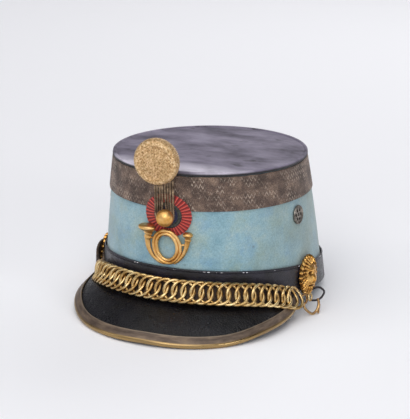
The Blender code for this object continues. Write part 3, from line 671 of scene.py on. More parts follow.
# the cockade's inner rings: dull silver thread, and flat navy ribbon
greyThread = makePlain("tarnishedSilverThread", 0.8, (1.3, 3, 0.6), ((0.35, "#1f211e"), (0.65, "#4a4d46")),
                       (0.6, 2, 0.6, 0.15, 0.6), sheen=0.1)
navyRibbon = makePlain("navyWorstedRibbon", 0.8, (1.3, 3, 0.6), ((0.35, "#10122a"), (0.65, "#1d2148")),
                       (0.6, 2, 0.6, 0.15, 0.6), sheen=0.3)
# metal thread twisted round a cotton core, for the cords
cordThread = makePlain("tarnishedMetalThread", 0.45, (5, 4, 0.65),
                       ((0.35, "#4a3b30"), (0.52, "#8c7760"), (0.68, "#c4ab8c")), (0.6, 2, 0.6, 0.1, 0.6),
                       metallic=0.55)
# pressed white metal for the ventilators, dull with age
whiteMetal = makePlain("dulledWhiteMetal", 0.42, (3, 4, 0.6), ((0.35, "#5d5650"), (0.65, "#a39b91")),
                       (3, 4, 0.6, 0.06, 0.6), metallic=0.9)
# blackened steel, for the loop that holds the hook
steelWire = makePlain("blackenedSteelWire", 0.4, (2.5, 3, 0.6), ((0.35, "#232126"), (0.65, "#4c474b")),
                      metallic=0.9)
# waxed linen thread for the stitches, with painted glints that turn it pale in places
linenThread = makePlain("linenThreadPaintedGlints", 0.6, (14, 3, 0.6),
                        ((0.0, "#1c1a20"), (0.56, "#2a272e"), (0.6, "#dedde2")))
print("materials: made")


# Cloth body: the oval wall, with the two vents' holes through it

def makeClothBody():
    cloth = {"columns": 192, "rows": 30, "uneven": 0.35 * mm, "ventHole": 4.6 * mm,
             "lift": 0.006}  # share of the wall left free at the rim

    def place(u, v):
        spot = wallPoint(2 * math.pi * u, cloth["lift"] + (1 - cloth["lift"]) * v)
        edge = min(1.0, 6 * v, 6 * (1 - v))  # even at the rim and the crown, where it is sewn
        uneven = noise.noise(spot * 38) * edge - 1 / 3
        return spot + outward(2 * math.pi * u, v) * uneven * cloth["uneven"]

    body = addSheet("clothBody", cloth["columns"], cloth["rows"], place, 590, 93, closed=True)
    applyModifier(body, "SOLIDIFY", thickness=hat["wallThickness"], offset=-1)
    for side in (-1, 1):
        drillHole(body, sideFrame(side, hat["ventRise"]), cloth["ventHole"], 20 * mm, 32)
    return finishPiece(body, woolCloth, ["body_shell"])


# Crown: a flat hide with a rolled welt round its edge

def makeCrown():
    crown = {"columns": 192, "thickness": 2.2 * mm, "welt": 0.9 * mm, "weltWidth": 2.6 * mm, "dome": 1.2 * mm,
             "overhang": 1.3 * mm}
    middle = Vector((0, -hat["crownForward"], hat["crownHeight"]))
    tilt = Vector((0, -hat["crownRise"] / 2 / hat["crownHalfLength"], 1)).normalized()
    top = gap + crown["thickness"]
    welt, width = crown["welt"], crown["weltWidth"]
    profile = [
        # in from the edge, above the wall
        (width * 0.4, gap),
        (0, gap + 0.2 * mm),
        (-width * 0.02, top * 0.6),
        (width * 0.04, top + welt * 0.3),
        (width * 0.22, top + welt * 0.85),
        (width * 0.45, top + welt),
        (width * 0.68, top + welt * 0.85),
        (width * 0.86, top + welt * 0.35),
        (width * 0.95, top - welt * 0.1),
        (width * 1.08, top - welt * 0.15),
        (width * 1.3, top),
        (width * 2.2, top + crown["dome"] * 0.15),
    ]
    for k in range(1, 13):
        share = k / 12
        inset = width * 2.2 + (hat["crownHalfWidth"] - width * 2.2) * share
        profile.append((inset, top + crown["dome"] * (0.15 + 0.85 * math.sin(share * math.pi / 2))))
    profile = [(hat["crownHalfWidth"], gap)] + profile

    def place(u, v):
        inset, lift = profile[round(v * (len(profile) - 1))]
        edge = wallPoint(2 * math.pi * u, 1, crown["overhang"])
        inward = (middle - edge) * min(1, inset / hat["crownHalfWidth"])
        spot = edge + inward
        flat = min(1, inset / (12 * mm))
        wave = noise.noise(spot * 22) * 0.5 * mm * flat if lift > top else 0
        return spot + tilt * (lift + wave)

    piece = addSheet("crownLeatherTop", crown["columns"], len(profile) - 1, place, 520, 80, closed=True)
    turnOutwards(piece)
    return finishPiece(piece, crownLeather, ["crown_top"], 60)


# Lace band round the top, and leather band round the rim

def makeLaceBand():
    lace = {"columns": 240, "rows": 16, "slack": 0.12 * mm}

    def place(u, v):
        angle = 2 * math.pi * u
        share = 1 - hat["laceWidth"] / wallSlant(angle) * (1 - v)
        pull = lace["slack"] * noise.noise(Vector((math.cos(angle) * 9, math.sin(angle) * 9, v * 2)))
        return wallPoint(angle, share, gap + hat["laceThickness"] + min(0, pull))

    band = addSheet("metalLaceBand", lace["columns"], lace["rows"], place, 530, 26.2, closed=True)
    applyModifier(band, "SOLIDIFY", thickness=hat["laceThickness"] * 0.9, offset=-1)
    applyModifier(band, "BEVEL", width=0.25 * mm, segments=2, limit_method="ANGLE")
    return finishPiece(band, metalLace, ["lace_band"])


def makeRimBand():
    width, full, lift = hat["bandWidth"], hat["bandThickness"], hat["bandLift"]
    # mm up from the rim and share of the thickness, with a crease along the top
    profile = ((0.0, 0.5), (0.25, 0.9), (0.8, 1), (5, 1), (10, 1.02), (15, 1), (19.2, 1), (19.85, 1),
               (20.1, 0.78), (20.35, 0.78), (20.6, 1), (21.5, 1), (22.0, 0.85), (22.2, 0.5))

    def place(u, v):
        angle = 2 * math.pi * u
        height, share = profile[round(v * (len(profile) - 1))]
        height = lift + (width - lift) * height * mm / width
        return wallPoint(angle, height / wallSlant(angle), gap + full * share)

    piece = addSheet("rimLeatherBand", 240, len(profile) - 1, place, 590, 22, closed=True)
    applyModifier(piece, "SOLIDIFY", thickness=full * 0.45, offset=-1)
    return finishPiece(piece, bandLeather, ["leather_band"], 50)


# Stitches along the top of the leather band: waxed thread, with painted glints that turn it pale in places

def makeStitches():
    stitch = {"count": 168, "length": 2.0 * mm, "radius": 0.3 * mm, "below": 1.0 * mm, "out": 1.55 * mm,
              "sag": 0.25 * mm}
    half = stitch["length"] / 2 / hat["rimHalfLength"]
    paths = []
    for middle in roundTurn(stitch["count"]):
        path = []
        for step in (-1, -0.5, 0, 0.5, 1):
            angle = middle + half * step
            share = (hat["bandWidth"] - stitch["below"]) / wallSlant(angle)
            path.append(wallPoint(angle, share, gap + stitch["out"] - stitch["sag"] * step * step))
        paths.append(path)
    thread = addWires("bandStitches", paths, stitch["radius"], 6)
    return finishPiece(thread, linenThread, [], 80)


# Peak and its metal edge

peak = {
    "thickness": 2.4 * mm, "halfWidth": 83.8 * mm, "reach": 44.5 * mm, "drop": 24.3 * mm, "length": 85.5 * mm,
    "arch": 2.2 * mm, "rootAngle": 70, "endAngle": 107, "kept": 0.945,
    "trimMetal": 0.7 * mm, "trimFlange": 6.2 * mm,
    # along, drop: the edge's height along half its outline
    "edge": ((0.00, 1.00), (0.20, 1.02), (0.37, 0.97), (0.47, 0.87), (0.57, 0.72), (0.67, 0.59), (0.77, 0.48),
             (0.88, 0.35), (1.00, 0.06)),
}


def peakSection(along):
    # root, edge, the width's arch and the frame of the edge; along is -1 to 1 from end to end
    root = wallPoint(math.radians(peak["rootAngle"]) * along, (hat["bandLift"] + gap) / hat["crownHeight"],
                     gap + hat["bandThickness"] + gap * 2)
    angle = math.radians(peak["endAngle"]) * along
    drop = readTable(peak["edge"], abs(along))[0] * peak["drop"]
    edge = Vector((peak["halfWidth"] * math.sin(angle),
                   -hat["rimHalfLength"] - peak["reach"] + peak["length"] * (1 - math.cos(angle)), -drop))
    width = (edge - root).length
    slope = (edge - root) / width
    normal = (Vector((0, 0, 1)) - slope * slope.z).normalized()
    arch = peak["arch"] * min(1, width / peak["reach"])
    bare = 1 - min(peak["trimFlange"] / width, 0.7)

    def top(share):
        if share > bare:  # straight where the metal edge grips it
            near = top(bare)
            return near.lerp(edge, (share - bare) / (1 - bare))
        return root.lerp(edge, share) + normal * (arch * 4 * share * (1 - share))

    edgeSlope = (edge - top(bare)).normalized()
    edgeNormal = (normal - edgeSlope * normal.dot(edgeSlope)).normalized()
    return top, bare, edge, edgeSlope, edgeNormal


def peakAlong(u):
    step = 2 * u - 1
    return peak["kept"] * (math.sin(step * math.pi / 2) * 0.35 + step * 0.65)


def makePeak():
    grain = {"columns": 160, "rows": 36, "waveMm": 0.16}
    sections = [peakSection(peakAlong(k / grain["columns"])) for k in range(grain["columns"] + 1)]

    def place(u, v):
        top, bare, edge, edgeSlope, edgeNormal = sections[round(u * grain["columns"])]
        spot = top(v)
        if v < bare:
            spot = spot + edgeNormal * noise.noise(spot * 140) * grain["waveMm"] * mm * min(1, (bare - v) * 6)
        return spot

    piece = addSheet("peakLeather", grain["columns"], grain["rows"], place, 250, 46)
    applyModifier(piece, "SOLIDIFY", thickness=peak["thickness"], offset=1)
    turnOutwards(piece)
    return finishPiece(piece, peakLeather, ["peak"], 50)


def makePeakTrim():
    trim = {"columns": 200, "bead": 0.22 * mm, "beadRows": (1.0, 0.3, 0, 0, 0.3, 1.0, 0.3, 0, 0)}
    half = peak["thickness"] / 2
    inside = half + gap
    middle = inside + peak["trimMetal"] / 2
    turns = [90 - 15 * k for k in range(13)]
    sections = [peakSection(peakAlong(k / trim["columns"])) for k in range(trim["columns"] + 1)]
    rows = []
    for k, bead in enumerate(trim["beadRows"]):  # top flange, from its inner edge to the nose
        rows.append((k / 8 - 1, middle + trim["bead"] * bead))
    rows += [(math.cos(math.radians(t)) * middle, math.sin(math.radians(t)) * middle) for t in turns[1:-1]]
    rows += [(-share, -middle) for share in (0, 0.5, 1)]
    count = len(rows)

    def place(u, v):
        top, bare, edge, edgeSlope, edgeNormal = sections[round(u * trim["columns"])]
        flange = (edge - top(bare)).length
        centre = edge - edgeNormal * half
        x, y = rows[round(v * (count - 1))]
        x = x * flange if x <= 0 and abs(y) >= middle * 0.99 else x
        return centre + edgeSlope * x + edgeNormal * y

    piece = addSheet("peakTrim", trim["columns"], count - 1, place, 300, 18.0)
    applyModifier(piece, "SOLIDIFY", thickness=peak["trimMetal"], offset=0)
    turnOutwards(piece)
    return finishPiece(piece, makeEdgeBrass(6.2, 12.6), ["peak_trim"], 50)


makeClothBody()
makeCrown()
makeLaceBand()
makeRimBand()
makeStitches()
makePeak()
makePeakTrim()
print("body, bands and peak: made")


# Chin chain: curb links, each a twisted ring that lies in its neighbours, over a leather strap

chain = {
    "wire": 1.9 * mm, "linkLength": 17.9 * mm, "linkHeight": 17.7 * mm, "pitch": 6.6 * mm,
    "twist": 1.25 * mm, "lean": 0.26 * mm, "steps": 48, "drawnWire": 2.35 * mm,
    # degrees from the front, mm out from the wall, mm up from the rim, degrees that its face leans up
    "route": ((-54, 8.2, 0.4, 18), (-47, 9.2, 3.4, 20), (-40, 10.0, 5.2, 22), (-30, 10.6, 6.6, 25),
              (0, 11.0, 6.8, 26), (25, 11.0, 6.8, 25), (45, 11.4, 5.0, 24), (60.6, 12.4, 0.2, 24)),
}


def chainFrames():
    first, last = chain["route"][0][0], chain["route"][-1][0]
    fine = 400
    points, outs, lengths = [], [], [0]
    for k in range(fine + 1):
        degrees = first + (last - first) * k / fine
        out, up, lean = readTable(chain["route"], degrees)
        angle, lean = math.radians(degrees), math.radians(lean)
        points.append(besideWall(angle, out * mm, up * mm))
        outs.append(outward(angle, 0) * math.cos(lean) + Vector((0, 0, math.sin(lean))))
    for near, far in zip(points, points[1:]):
        lengths.append(lengths[-1] + (far - near).length)
    count = int(lengths[-1] / chain["pitch"])
    frames = []
    for k in range(count + 1):
        spot = lengths[-1] - (count - k) * chain["pitch"]
        i = max(1, min(fine - 1, next(n for n, length in enumerate(lengths) if length >= spot - 1e-9)))
        tangent = (points[i + 1] - points[i - 1]).normalized()
        out = (outs[i] - tangent * outs[i].dot(tangent)).normalized()
        place = Matrix((tangent, out.cross(tangent), out)).transposed().to_4x4()
        place.translation = points[i]
        frames.append(place)
    return frames


def makeChain(frames):
    halfLength = (chain["linkLength"] - chain["wire"]) / 2
    halfHeight = (chain["linkHeight"] - chain["wire"]) / 2
    paths = []
    for place in frames:
        path = []
        for t in roundTurn(chain["steps"]):
            bend = -chain["twist"] * math.sin(2 * t) - chain["lean"] * math.cos(t)
            path.append(place @ Vector((halfLength * math.cos(t), halfHeight * math.sin(t), bend)))
        paths.append(path)
    links = addWires("chainLinks", paths, chain["drawnWire"] / 2, closed=True)
    return finishPiece(links, chainGilt, ["chin_chain"], 80)


def makeStrap(frames):
    strap = {
        "width": 13 * mm, "endShare": 0.6, "rows": 8,
        # the end under the boss: degrees from the front, mm out from the wall, mm up, mm half width
        "tail": ((-85, 2.8, 12.0, 6.0), (-80, 4.4, 12.0, 7.0), (-74, 6.8, 10.5, 8.0), (-68, 7.6, 8.0, 8.0),
                 (-61, 7.2, 4.5, 7.0)),
    }
    behind = chain["twist"] + chain["lean"] + chain["wire"] / 2 + gap
    low, high = [], []
    for degrees, out, up, half in strap["tail"]:
        angle = math.radians(degrees)
        for line, side in ((low, -1), (high, 1)):
            line.append(besideWall(angle, out * mm + hat["strapThickness"] / 2, (up + side * half) * mm))
    kept = frames[::2] + frames[-1:] * (1 - len(frames) % 2)
    for k, place in enumerate(kept):
        toEnd = min(1, (len(kept) - 1 - k) / 3, k / 2)
        half = strap["width"] / 2 * (strap["endShare"] + (1 - strap["endShare"]) * toEnd)
        for line, side in ((low, -1), (high, 1)):
            line.append(place @ Vector((0, side * half, -behind)))
    low, high = smoothPath(low, 4), smoothPath(high, 4)
    last = len(low) - 1

    def place(u, v):
        return low[round(u * last)].lerp(high[round(u * last)], v)

    piece = addSheet("chainStrap", last, strap["rows"], place, 240, 13)
    applyModifier(piece, "SOLIDIFY", thickness=hat["strapThickness"], offset=-1)
    applyModifier(piece, "BEVEL", width=0.35 * mm, segments=2, limit_method="ANGLE")
    return finishPiece(piece, strapLeather, ["chain_strap"])


def makeEndFittings():
    # a small ring in the last link, then a gilt ring, a brass hook and a steel loop from under the boss
    fitting = {
        "wire": 1.6 * mm, "hookWire": 2.0 * mm, "ring": 8.6 * mm, "giltRing": 6.8 * mm,
        # places in mm in the level hat's own axes
        "ringAt": (86.6, -39.2, -3.5), "ringAxis": (0.95, -0.26, 0.17),
        "giltRingAt": (89.3, -33.8, -2.7), "giltRingAxis": (0.96, -0.15, 0.14),
        "hook": ((86.6, -39.9, -6.4), (87.4, -40.1, -9.8), (89.7, -37.8, -13.0), (92.7, -34.9, -14.9),
                 (94.9, -31.4, -12.2), (95.2, -29.4, -7.4), (93.9, -28.1, -4.3)),
        "loop": ((86.6, -24.0, 0.8), (92.5, -22.8, 3.3), (97.1, -23.7, 0.9), (96.2, -25.9, -3.2),
                 (93.5, -28.4, -5.4), (90.2, -31.5, -5.6)),
        "tip": ((95.5, -28.3, -8.3), (95.5, -29.0, -12.0), (95.4, -29.7, -15.2)),
    }

    def addEndRing(name, middle, axis, across, material, nodes):
        place = Vector(axis).to_track_quat("Z", "Y").to_matrix().to_4x4()
        place.translation = Vector(middle) * mm
        radius = (across - fitting["wire"]) / 2
        path = [place @ Vector((radius * math.cos(t), radius * math.sin(t), 0)) for t in roundTurn(40)]
        ring = addWires(name, [path], fitting["wire"] / 2, closed=True)
        finishPiece(ring, material, nodes, 80)

    def addHook(name, points, wire, material, nodes):
        path = smoothPath([Vector(point) * mm for point in points], 8)
        finishPiece(addWires(name, [path], wire / 2), material, nodes, 80)

    addEndRing("lastLinkRing", fitting["ringAt"], fitting["ringAxis"], fitting["ring"], hookBrass, [])
    addEndRing("endRing", fitting["giltRingAt"], fitting["giltRingAxis"], fitting["giltRing"], chainGilt,
               ["end_ring"])
    addHook("chainHook", fitting["hook"], fitting["hookWire"], hookBrass, ["chain_hook"])
    addHook("hookLoop", fitting["loop"], fitting["wire"], steelWire, [])
    addHook("hookTip", fitting["tip"], fitting["wire"], hookBrass, [])


frames = chainFrames()
makeChain(frames)
makeStrap(frames)
makeEndFittings()
print("chain, strap and hook: made")


# Cockade: pleated red ribbon, a grey metal edging and a navy middle, on the front of the wall

cockade = {
    "across": 33.5 * mm, "red": 6.6 * mm, "grey": 2.4 * mm, "thickness": 0.8 * mm, "pleat": 0.6 * mm,
    "pleats": 36, "drop": 30.0 * mm, "shift": 1.8 * mm,
}
cockadeHeight = frontSlant - cockade["drop"]
laceFace = gap + hat["laceThickness"]


def cockadeOut(above):
    laceEdge = cockade["drop"] - hat["laceWidth"]
    lean = hat["laceThickness"] / (laceEdge + cockade["across"] / 2)
    return laceFace + gap + (above - laceEdge) * lean


def cockadePoint(across, above, level):
    return onFront(cockade["shift"] + across, cockadeHeight + above, cockadeOut(above) + level)


def addRing(name, inner, outer, columns, rows, level, turns):
    # level is the face's height over the cockade's back, at a turn from 0 to 1 and a share of the width
    def place(u, v):
        angle = 2 * math.pi * u
        radius = inner + (outer - inner) * v
        return cockadePoint(radius * math.sin(angle), radius * math.cos(angle), level(u, v))

    ring = addSheet(name, columns, rows, place, turns, (outer - inner) / mm, closed=True)
    applyModifier(ring, "SOLIDIFY", thickness=0.5 * mm, offset=0)
    turnOutwards(ring)
    return ring


def makeCockade():
    outer = cockade["across"] / 2
    redInner = outer - cockade["red"]
    pleats = cockade["pleats"]

    def pleated(u, v):
        # each pleat climbs over the next one's foot and drops behind it
        phase = u * pleats % 1
        fold = phase / 0.82 if phase < 0.82 else (1 - phase) / 0.18
        puff = math.sin(math.pi * min(1, 0.15 + v * 0.8))
        return cockade["thickness"] * 0.55 + cockade["pleat"] * (0.15 + 1.15 * fold * (0.45 + 0.55 * puff))

    red = addRing("cockadeRedRibbon", redInner, outer, pleats * 8, 8, pleated, pleats)
    finishPiece(red, redRibbon, ["cockade_red"], 35)
    greyOuter = redInner - gap
    greyInner = greyOuter - cockade["grey"]

    def twisted(u, v):
        strand = math.sin(2 * math.pi * (u * 44 + v * 0.8))
        return cockade["thickness"] * 0.5 + math.sin(math.pi * v) * (0.55 + 0.16 * strand) * mm

    grey = addRing("cockadeGreyEdging", greyInner, greyOuter, 264, 8, twisted, 44)
    finishPiece(grey, greyThread, ["cockade_grey"], 60)

    def flat(u, v):
        return cockade["thickness"] * 0.6 + 0.25 * mm * math.sin(math.pi * min(1, v * 1.1))

    navy = addRing("cockadeNavyMiddle", 0.01 * mm, greyInner - gap, 96, 10, flat, 20)
    finishPiece(navy, navyRibbon, ["cockade_blue"], 60)


makeCockade()


# Ganse: four nested loops of twisted cord that hang from behind the pompom to the button

cords = {"thickness": 1.2 * mm, "count": 4, "ply": 0.5 * mm, "offset": 0.36 * mm, "twistLength": 3.0 * mm,
         "legPitch": 1.84 * mm}
pompom = {"across": 34.8 * mm, "thickness": 10.5 * mm, "lift": 12.2 * mm, "shift": -3.4 * mm,
          "stem": 3.6 * mm}
button = {"across": 12.9 * mm, "shank": 2.0 * mm, "shift": 1.8 * mm, "flatTurn": 38}
cordTop = cockade["drop"] + pompom["lift"] - pompom["across"] * 0.42


def cordOut(above):
    return cockadeOut(above) + cockade["thickness"] + cockade["pleat"] + gap + cords["thickness"] / 2


def overCords(above):
    return cordOut(above) + cords["thickness"] / 2 + gap


def makeCord(loop):
    bottom = button["shank"] / 2 + gap + cords["thickness"] / 2 + loop * (cords["thickness"] + gap)
    leg = cords["legPitch"] * (loop + 0.5)
    flat = []
    for k in range(60):  # down one leg, which draws in to the loop round the shank
        share = k / 60
        flat.append((-leg + (leg - bottom) * share ** 3, cordTop * (1 - share)))
    bend = 16 + 8 * loop
    turns = [math.pi * k / bend for k in range(bend + 1)]
    bow = [(-bottom * math.cos(turn), -bottom * math.sin(turn)) for turn in turns]
    flat = flat + bow + [(-x, y) for x, y in reversed(flat)]
    middle = [onFront(x, cockadeHeight + y, cordOut(y)) for x, y in flat]
    plies = []
    for start in (0, math.pi):
        path, turned = [], start
        for i, spot in enumerate(middle):
            near, far = middle[max(i - 1, 0)], middle[min(i + 1, len(middle) - 1)]
            tangent = (far - near).normalized()
            side = tangent.cross(Vector((0, -1, 0.13))).normalized()
            turned += (spot - near).length / cords["twistLength"] * 2 * math.pi
            offset = side * math.cos(turned) + side.cross(tangent) * math.sin(turned)
            path.append(spot + offset * cords["offset"])
        plies.append(path)
    cord = addWires(f"ganseCord{loop + 1}", plies, cords["ply"], 8)
    return finishPiece(cord, cordThread, [f"ganse_cord_{loop + 1}"], 80)


for loop in range(cords["count"]):
    makeCord(loop)


# Button: a gilt ball on a shank that holds the cord loops

def makeButton():
    foot = cockadeOut(0) + cockade["thickness"] + gap
    seat = overCords(button["across"] / 2)
    radius = button["across"] / 2
    profile = [(0, foot), (button["shank"] / 2, foot), (button["shank"] / 2, seat)]
    for k in range(25):
        turn = math.radians(-button["flatTurn"] + (90 + button["flatTurn"]) * k / 24)
        rise = math.sin(turn) + math.sin(math.radians(button["flatTurn"]))
        profile.append((radius * math.cos(turn) if k < 24 else 0, seat + radius * 0.9 * rise))
    place = wallFrame(math.asin(button["shift"] / hat["crownHalfWidth"]), cockadeHeight)
    return finishPiece(addTurned("gansButton", profile, place, 64), buttonGilt, ["button"], 50)


makeButton()


# Pompom: a thick disc covered in short curls of bullion, on a stem behind it

def makePompom():
    curl = {"pitch": 1.7 * mm, "radius": 0.46 * mm, "length": 2.7 * mm, "lay": 38, "rimCount": 74,
            "rimRadius": 0.62 * mm}
    radius = pompom["across"] / 2 - 1.2 * mm
    thick = pompom["thickness"] - 0.8 * mm
    back = overCords(cordTop)
    frame = wallFrame(0, frontSlant) @ Matrix.Translation((pompom["shift"], pompom["lift"], back))
    outline = ((0.00, 0.00), (0.86, 0.00), (0.98, 0.20), (1.00, 0.50), (0.93, 0.76), (0.82, 0.83),
               (0.74, 0.80), (0.64, 0.80), (0.42, 0.92), (0.16, 1.00), (0.00, 1.00))
    profile = smoothPath([Vector((r, z)) for r, z in outline], 4)
    profile = [(max(0, p.x) * radius, p.y * thick) for p in profile]
    profile[0], profile[-1] = (0, 0), (0, thick)
    base = addTurned("pompomBase", profile, frame, 96)
    face = [(r, z) for r, z in profile if z > thick * 0.55]

    def faceHeight(distance):
        near = min(face, key=lambda row: abs(row[0] - distance))
        return near[1]

    random.seed(4)
    paths = []
    reach = int(radius / curl["pitch"]) + 1
    for column in range(-reach, reach + 1):
        for row in range(-reach, reach + 1):
            turned = Matrix.Rotation(math.radians(curl["lay"]), 2)
            middle = turned @ Vector((column, row)) * curl["pitch"]
            if middle.length > radius * 0.93:
                continue
            crossed = math.pi / 2 if (column + row) % 2 else 0
            lay = math.radians(curl["lay"] + random.uniform(-5, 5)) + crossed
            lift = random.uniform(0, 0.15) * mm
            path = []
            for step in (-0.5, -0.25, 0, 0.25, 0.5):
                flat = middle + Vector((math.cos(lay), math.sin(lay))) * step * curl["length"]
                height = faceHeight(flat.length) + curl["radius"] * (0.9 - 3.2 * step * step) + lift
                path.append(frame @ Vector((flat.x, flat.y, height)))
            paths.append(path)
    curls = addWires("pompomCurls", paths, curl["radius"], 6)
    paths = []
    for turn in roundTurn(curl["rimCount"]):
        path = []
        for r, z in profile[6:22]:
            out = 1 + 0.35 * mm / max(r, 1 * mm)
            path.append(frame @ Vector((r * out * math.cos(turn), r * out * math.sin(turn), z)))
        paths.append(path)
    rim = addWires("pompomRim", paths, curl["rimRadius"], 6)
    piece = joinPieces("bullionPompom", [base, curls, rim])
    return finishPiece(piece, bullionWire, ["pompom"], 60)


def makePompomStem():
    back = overCords(cordTop)
    low = cordTop - cockade["drop"] + gap + pompom["stem"] / 2
    near, far = laceFace + gap, back - gap
    behindCords = cordOut(cordTop) - cords["thickness"] / 2 - gap
    blocks = []
    # a block over the cords' ends, and a flat foot behind them down on the lace
    for bottom, front in ((low, far), (low - 9 * mm, behindCords)):
        deselectAll()
        bpy.ops.mesh.primitive_cube_add(size=1)
        block = bpy.context.object
        size = Matrix.Diagonal((pompom["stem"], pompom["lift"] - bottom, front - near, 1))
        middle = Matrix.Translation((pompom["shift"], (pompom["lift"] + bottom) / 2, (near + front) / 2))
        block.data.transform(wallFrame(0, frontSlant) @ middle @ size)
        applyModifier(block, "BEVEL", width=0.4 * mm, segments=2)
        blocks.append(block)
    stem = joinPieces("pompomStem", blocks)
    return finishPiece(stem, bullionWire, ["pompom_stem"])


makePompom()
makePompomStem()
print("cockade, cords, button and pompom: made")


# Hunting horn badge: two coiled tubes, a bell on one side and a mouthpiece on the other

horn = {
    "coilHeight": 28.2 * mm, "coilWidth": 21.9 * mm, "tube": 2.3 * mm, "relief": 2.4 * mm,
    "height": 39.0 * mm, "shift": 1.0 * mm, "barRadius": 0.75 * mm, "collar": 0.03,
    # across, up and radius, as shares of half the coil's height
    "bellArm": ((-0.05, -0.95, 0.070), (-0.42, -0.92, 0.080), (-0.78, -0.62, 0.100), (-0.97, -0.19, 0.125),
                (-0.99, 0.25, 0.150), (-0.93, 0.60, 0.175), (-0.88, 0.82, 0.250), (-0.87, 0.93, 0.360),
                (-0.87, 1.05, 0.410), (-0.87, 1.15, 0.395), (-0.87, 1.20, 0.300)),
    "mouthArm": ((0.35, -0.91, 0.070), (0.60, -0.68, 0.085), (0.78, -0.44, 0.090), (0.92, -0.14, 0.100),
                 (1.00, 0.16, 0.115), (1.06, 0.48, 0.125), (1.08, 0.66, 0.150), (1.08, 0.78, 0.215),
                 (1.08, 0.88, 0.225), (1.08, 0.95, 0.170)),
    "bars": (((-0.70, 0.42), (-1.00, 0.46)), ((0.74, 0.20), (1.05, 0.24))),  # from the coil to each arm
}


def hornOut(above):
    foot = -horn["coilHeight"] / 2
    cockadeFoot = cockadeHeight - cockade["across"] / 2 - horn["height"]
    needed = cockadeOut(-cockade["across"] / 2) + cockade["thickness"] + cockade["pleat"] + gap
    lean = (needed - gap) / max(cockadeFoot - foot, horn["coilHeight"] / 4)
    return gap + (above - foot) * lean


def hornPoint(across, above, level):
    return onFront(horn["shift"] + across, horn["height"] + above, hornOut(above) + level)


def hornArm(name, table, squash, collars):
    # collars are the places, in rows of the table, where a ring swells the tube
    half = horn["coilHeight"] / 2
    rows = smoothPath([Vector(row) for row in table], 8)
    sections = []
    for i, (x, y, radius) in enumerate(rows):
        before, after = rows[max(i - 1, 0)], rows[min(i + 1, len(rows) - 1)]
        ahead = Vector((after.x - before.x, after.y - before.y)).normalized()
        swell = sum(horn["collar"] for row in collars if abs(i / 8 - row) < 0.13)
        wide = radius + swell
        section = []
        for t in roundTurn(20):
            across = x + ahead.y * wide * math.cos(t)
            above = y - ahead.x * wide * math.cos(t)
            level = (radius * squash + wide * squash * math.sin(t)) * half + gap
            section.append(hornPoint(across * half, above * half, max(level, 0)))
        sections.append(section)
    return addLoft(name, sections)


def makeHorn():
    coils = []
    for tubesIn in (0.5, 1.5):
        halfWidth = horn["coilWidth"] / 2 - tubesIn * horn["tube"]
        halfHeight = horn["coilHeight"] / 2 - tubesIn * horn["tube"]
        level = horn["relief"] - horn["tube"] * 0.5
        coils.append([hornPoint(halfWidth * math.sin(t), halfHeight * math.cos(t), level)
                      for t in roundTurn(96)])
    half = horn["coilHeight"] / 2
    bars = [[hornPoint(x * half, y * half, horn["relief"] * 0.6) for x, y in ends] for ends in horn["bars"]]
    badge = joinPieces("hornBadge", [
        addWires("hornCoils", coils, horn["tube"] * 0.56, 20, closed=True),
        hornArm("bellArm", horn["bellArm"], 0.75, (4.5, 5.3)),
        hornArm("mouthArm", horn["mouthArm"], 0.85, (5.2,)),
        addWires("hornBars", bars, horn["barRadius"], 16),
    ])
    return finishPiece(badge, badgeGilt, ["horn_badge"], 80)


makeHorn()


# Lion's head bosses over the ears: mane tufts round a brow, a broad nose, cheeks and a chin

boss = {
    "width": 28 * mm, "height": 32 * mm, "relief": 7.5 * mm, "tufts": 24, "columns": 144, "rows": 60,
    "rise": {1: 12.5 * mm, -1: 6.6 * mm},  # by side, as in sideFrame
}


def lionRelief(x, y):
    # height as a share of the full relief, at shares of the half width and half height
    fromMiddle = math.hypot(x, y)
    turn = math.atan2(x, y)
    side = abs(x)
    rises = (
        # height, across and up from its middle, half width, half height
        (0.22, x, y - 0.36, 0.42, 0.2),  # brow
        (0.48, x, y + 0.18, 0.24, 0.34),  # nose
        (0.2, x, y + 0.62, 0.2, 0.16),  # chin
        (-0.24, side - 0.27, y - 0.16, 0.11, 0.085),  # eyes
        (0.10, side - 0.27, y - 0.30 + side * 0.2, 0.16, 0.06),  # lids
        (0.12, side - 0.26, y - 0.155, 0.05, 0.045),  # pupils
        (0.14, side - 0.42, y + 0.2, 0.2, 0.26),  # cheeks
        (-0.14, side - 0.10, y + 0.33, 0.05, 0.05),  # nostrils
        (-0.08, side, y - 0.42, 0.04, 0.2),  # furrow
    )
    face = sum(rise * math.exp(-(across / wide) ** 2 - (up / high) ** 2)
               for rise, across, up, wide, high in rises)
    mouth = -0.18 * math.exp(-((side / 0.32) ** 4) - ((y + 0.475 + 0.25 * side * side) / 0.05) ** 2)
    dome = 0.42 * (1 - min(1, fromMiddle * fromMiddle))
    mane = max(0, min(1, (fromMiddle - 0.5) / 0.18))
    locks = math.sin(turn * boss["tufts"] + 2.2 * math.sin(fromMiddle * 9))
    strands = math.sin(turn * boss["tufts"] * 3 + 3 * math.sin(fromMiddle * 7))
    return 0.16 + dome + face + mouth + mane * (0.075 * locks + 0.03 * strands)


def makeBossMetal():
    metal = {"bright": "#f3c578", "warm": "#d0903f", "hollow": "#4f2d12"}
    material, tree, shader = newMaterial("giltBossBrass", 0.3, 1.0)
    spot = objectSpot(tree)
    patch = noiseOf(tree, spot, 3.0, 4, 0.6)
    colour = rampOf(tree, patch, (0.36, metal["bright"]), (0.64, metal["warm"]))
    hollow = addNode(tree, "ShaderNodeAttribute", {"attribute_name": "hollow"}).outputs["Fac"]
    setColour(tree, shader, mixOf(tree, hollow, colour, metal["hollow"]))
    setRoughness(tree, shader, stepOf(tree, hollow, 0.2, 0.9, 0.26, 0.6))
    bumpOf(tree, shader, noiseOf(tree, spot, 0.9, 3, 0.6), 0.06, 0.6)
    return material


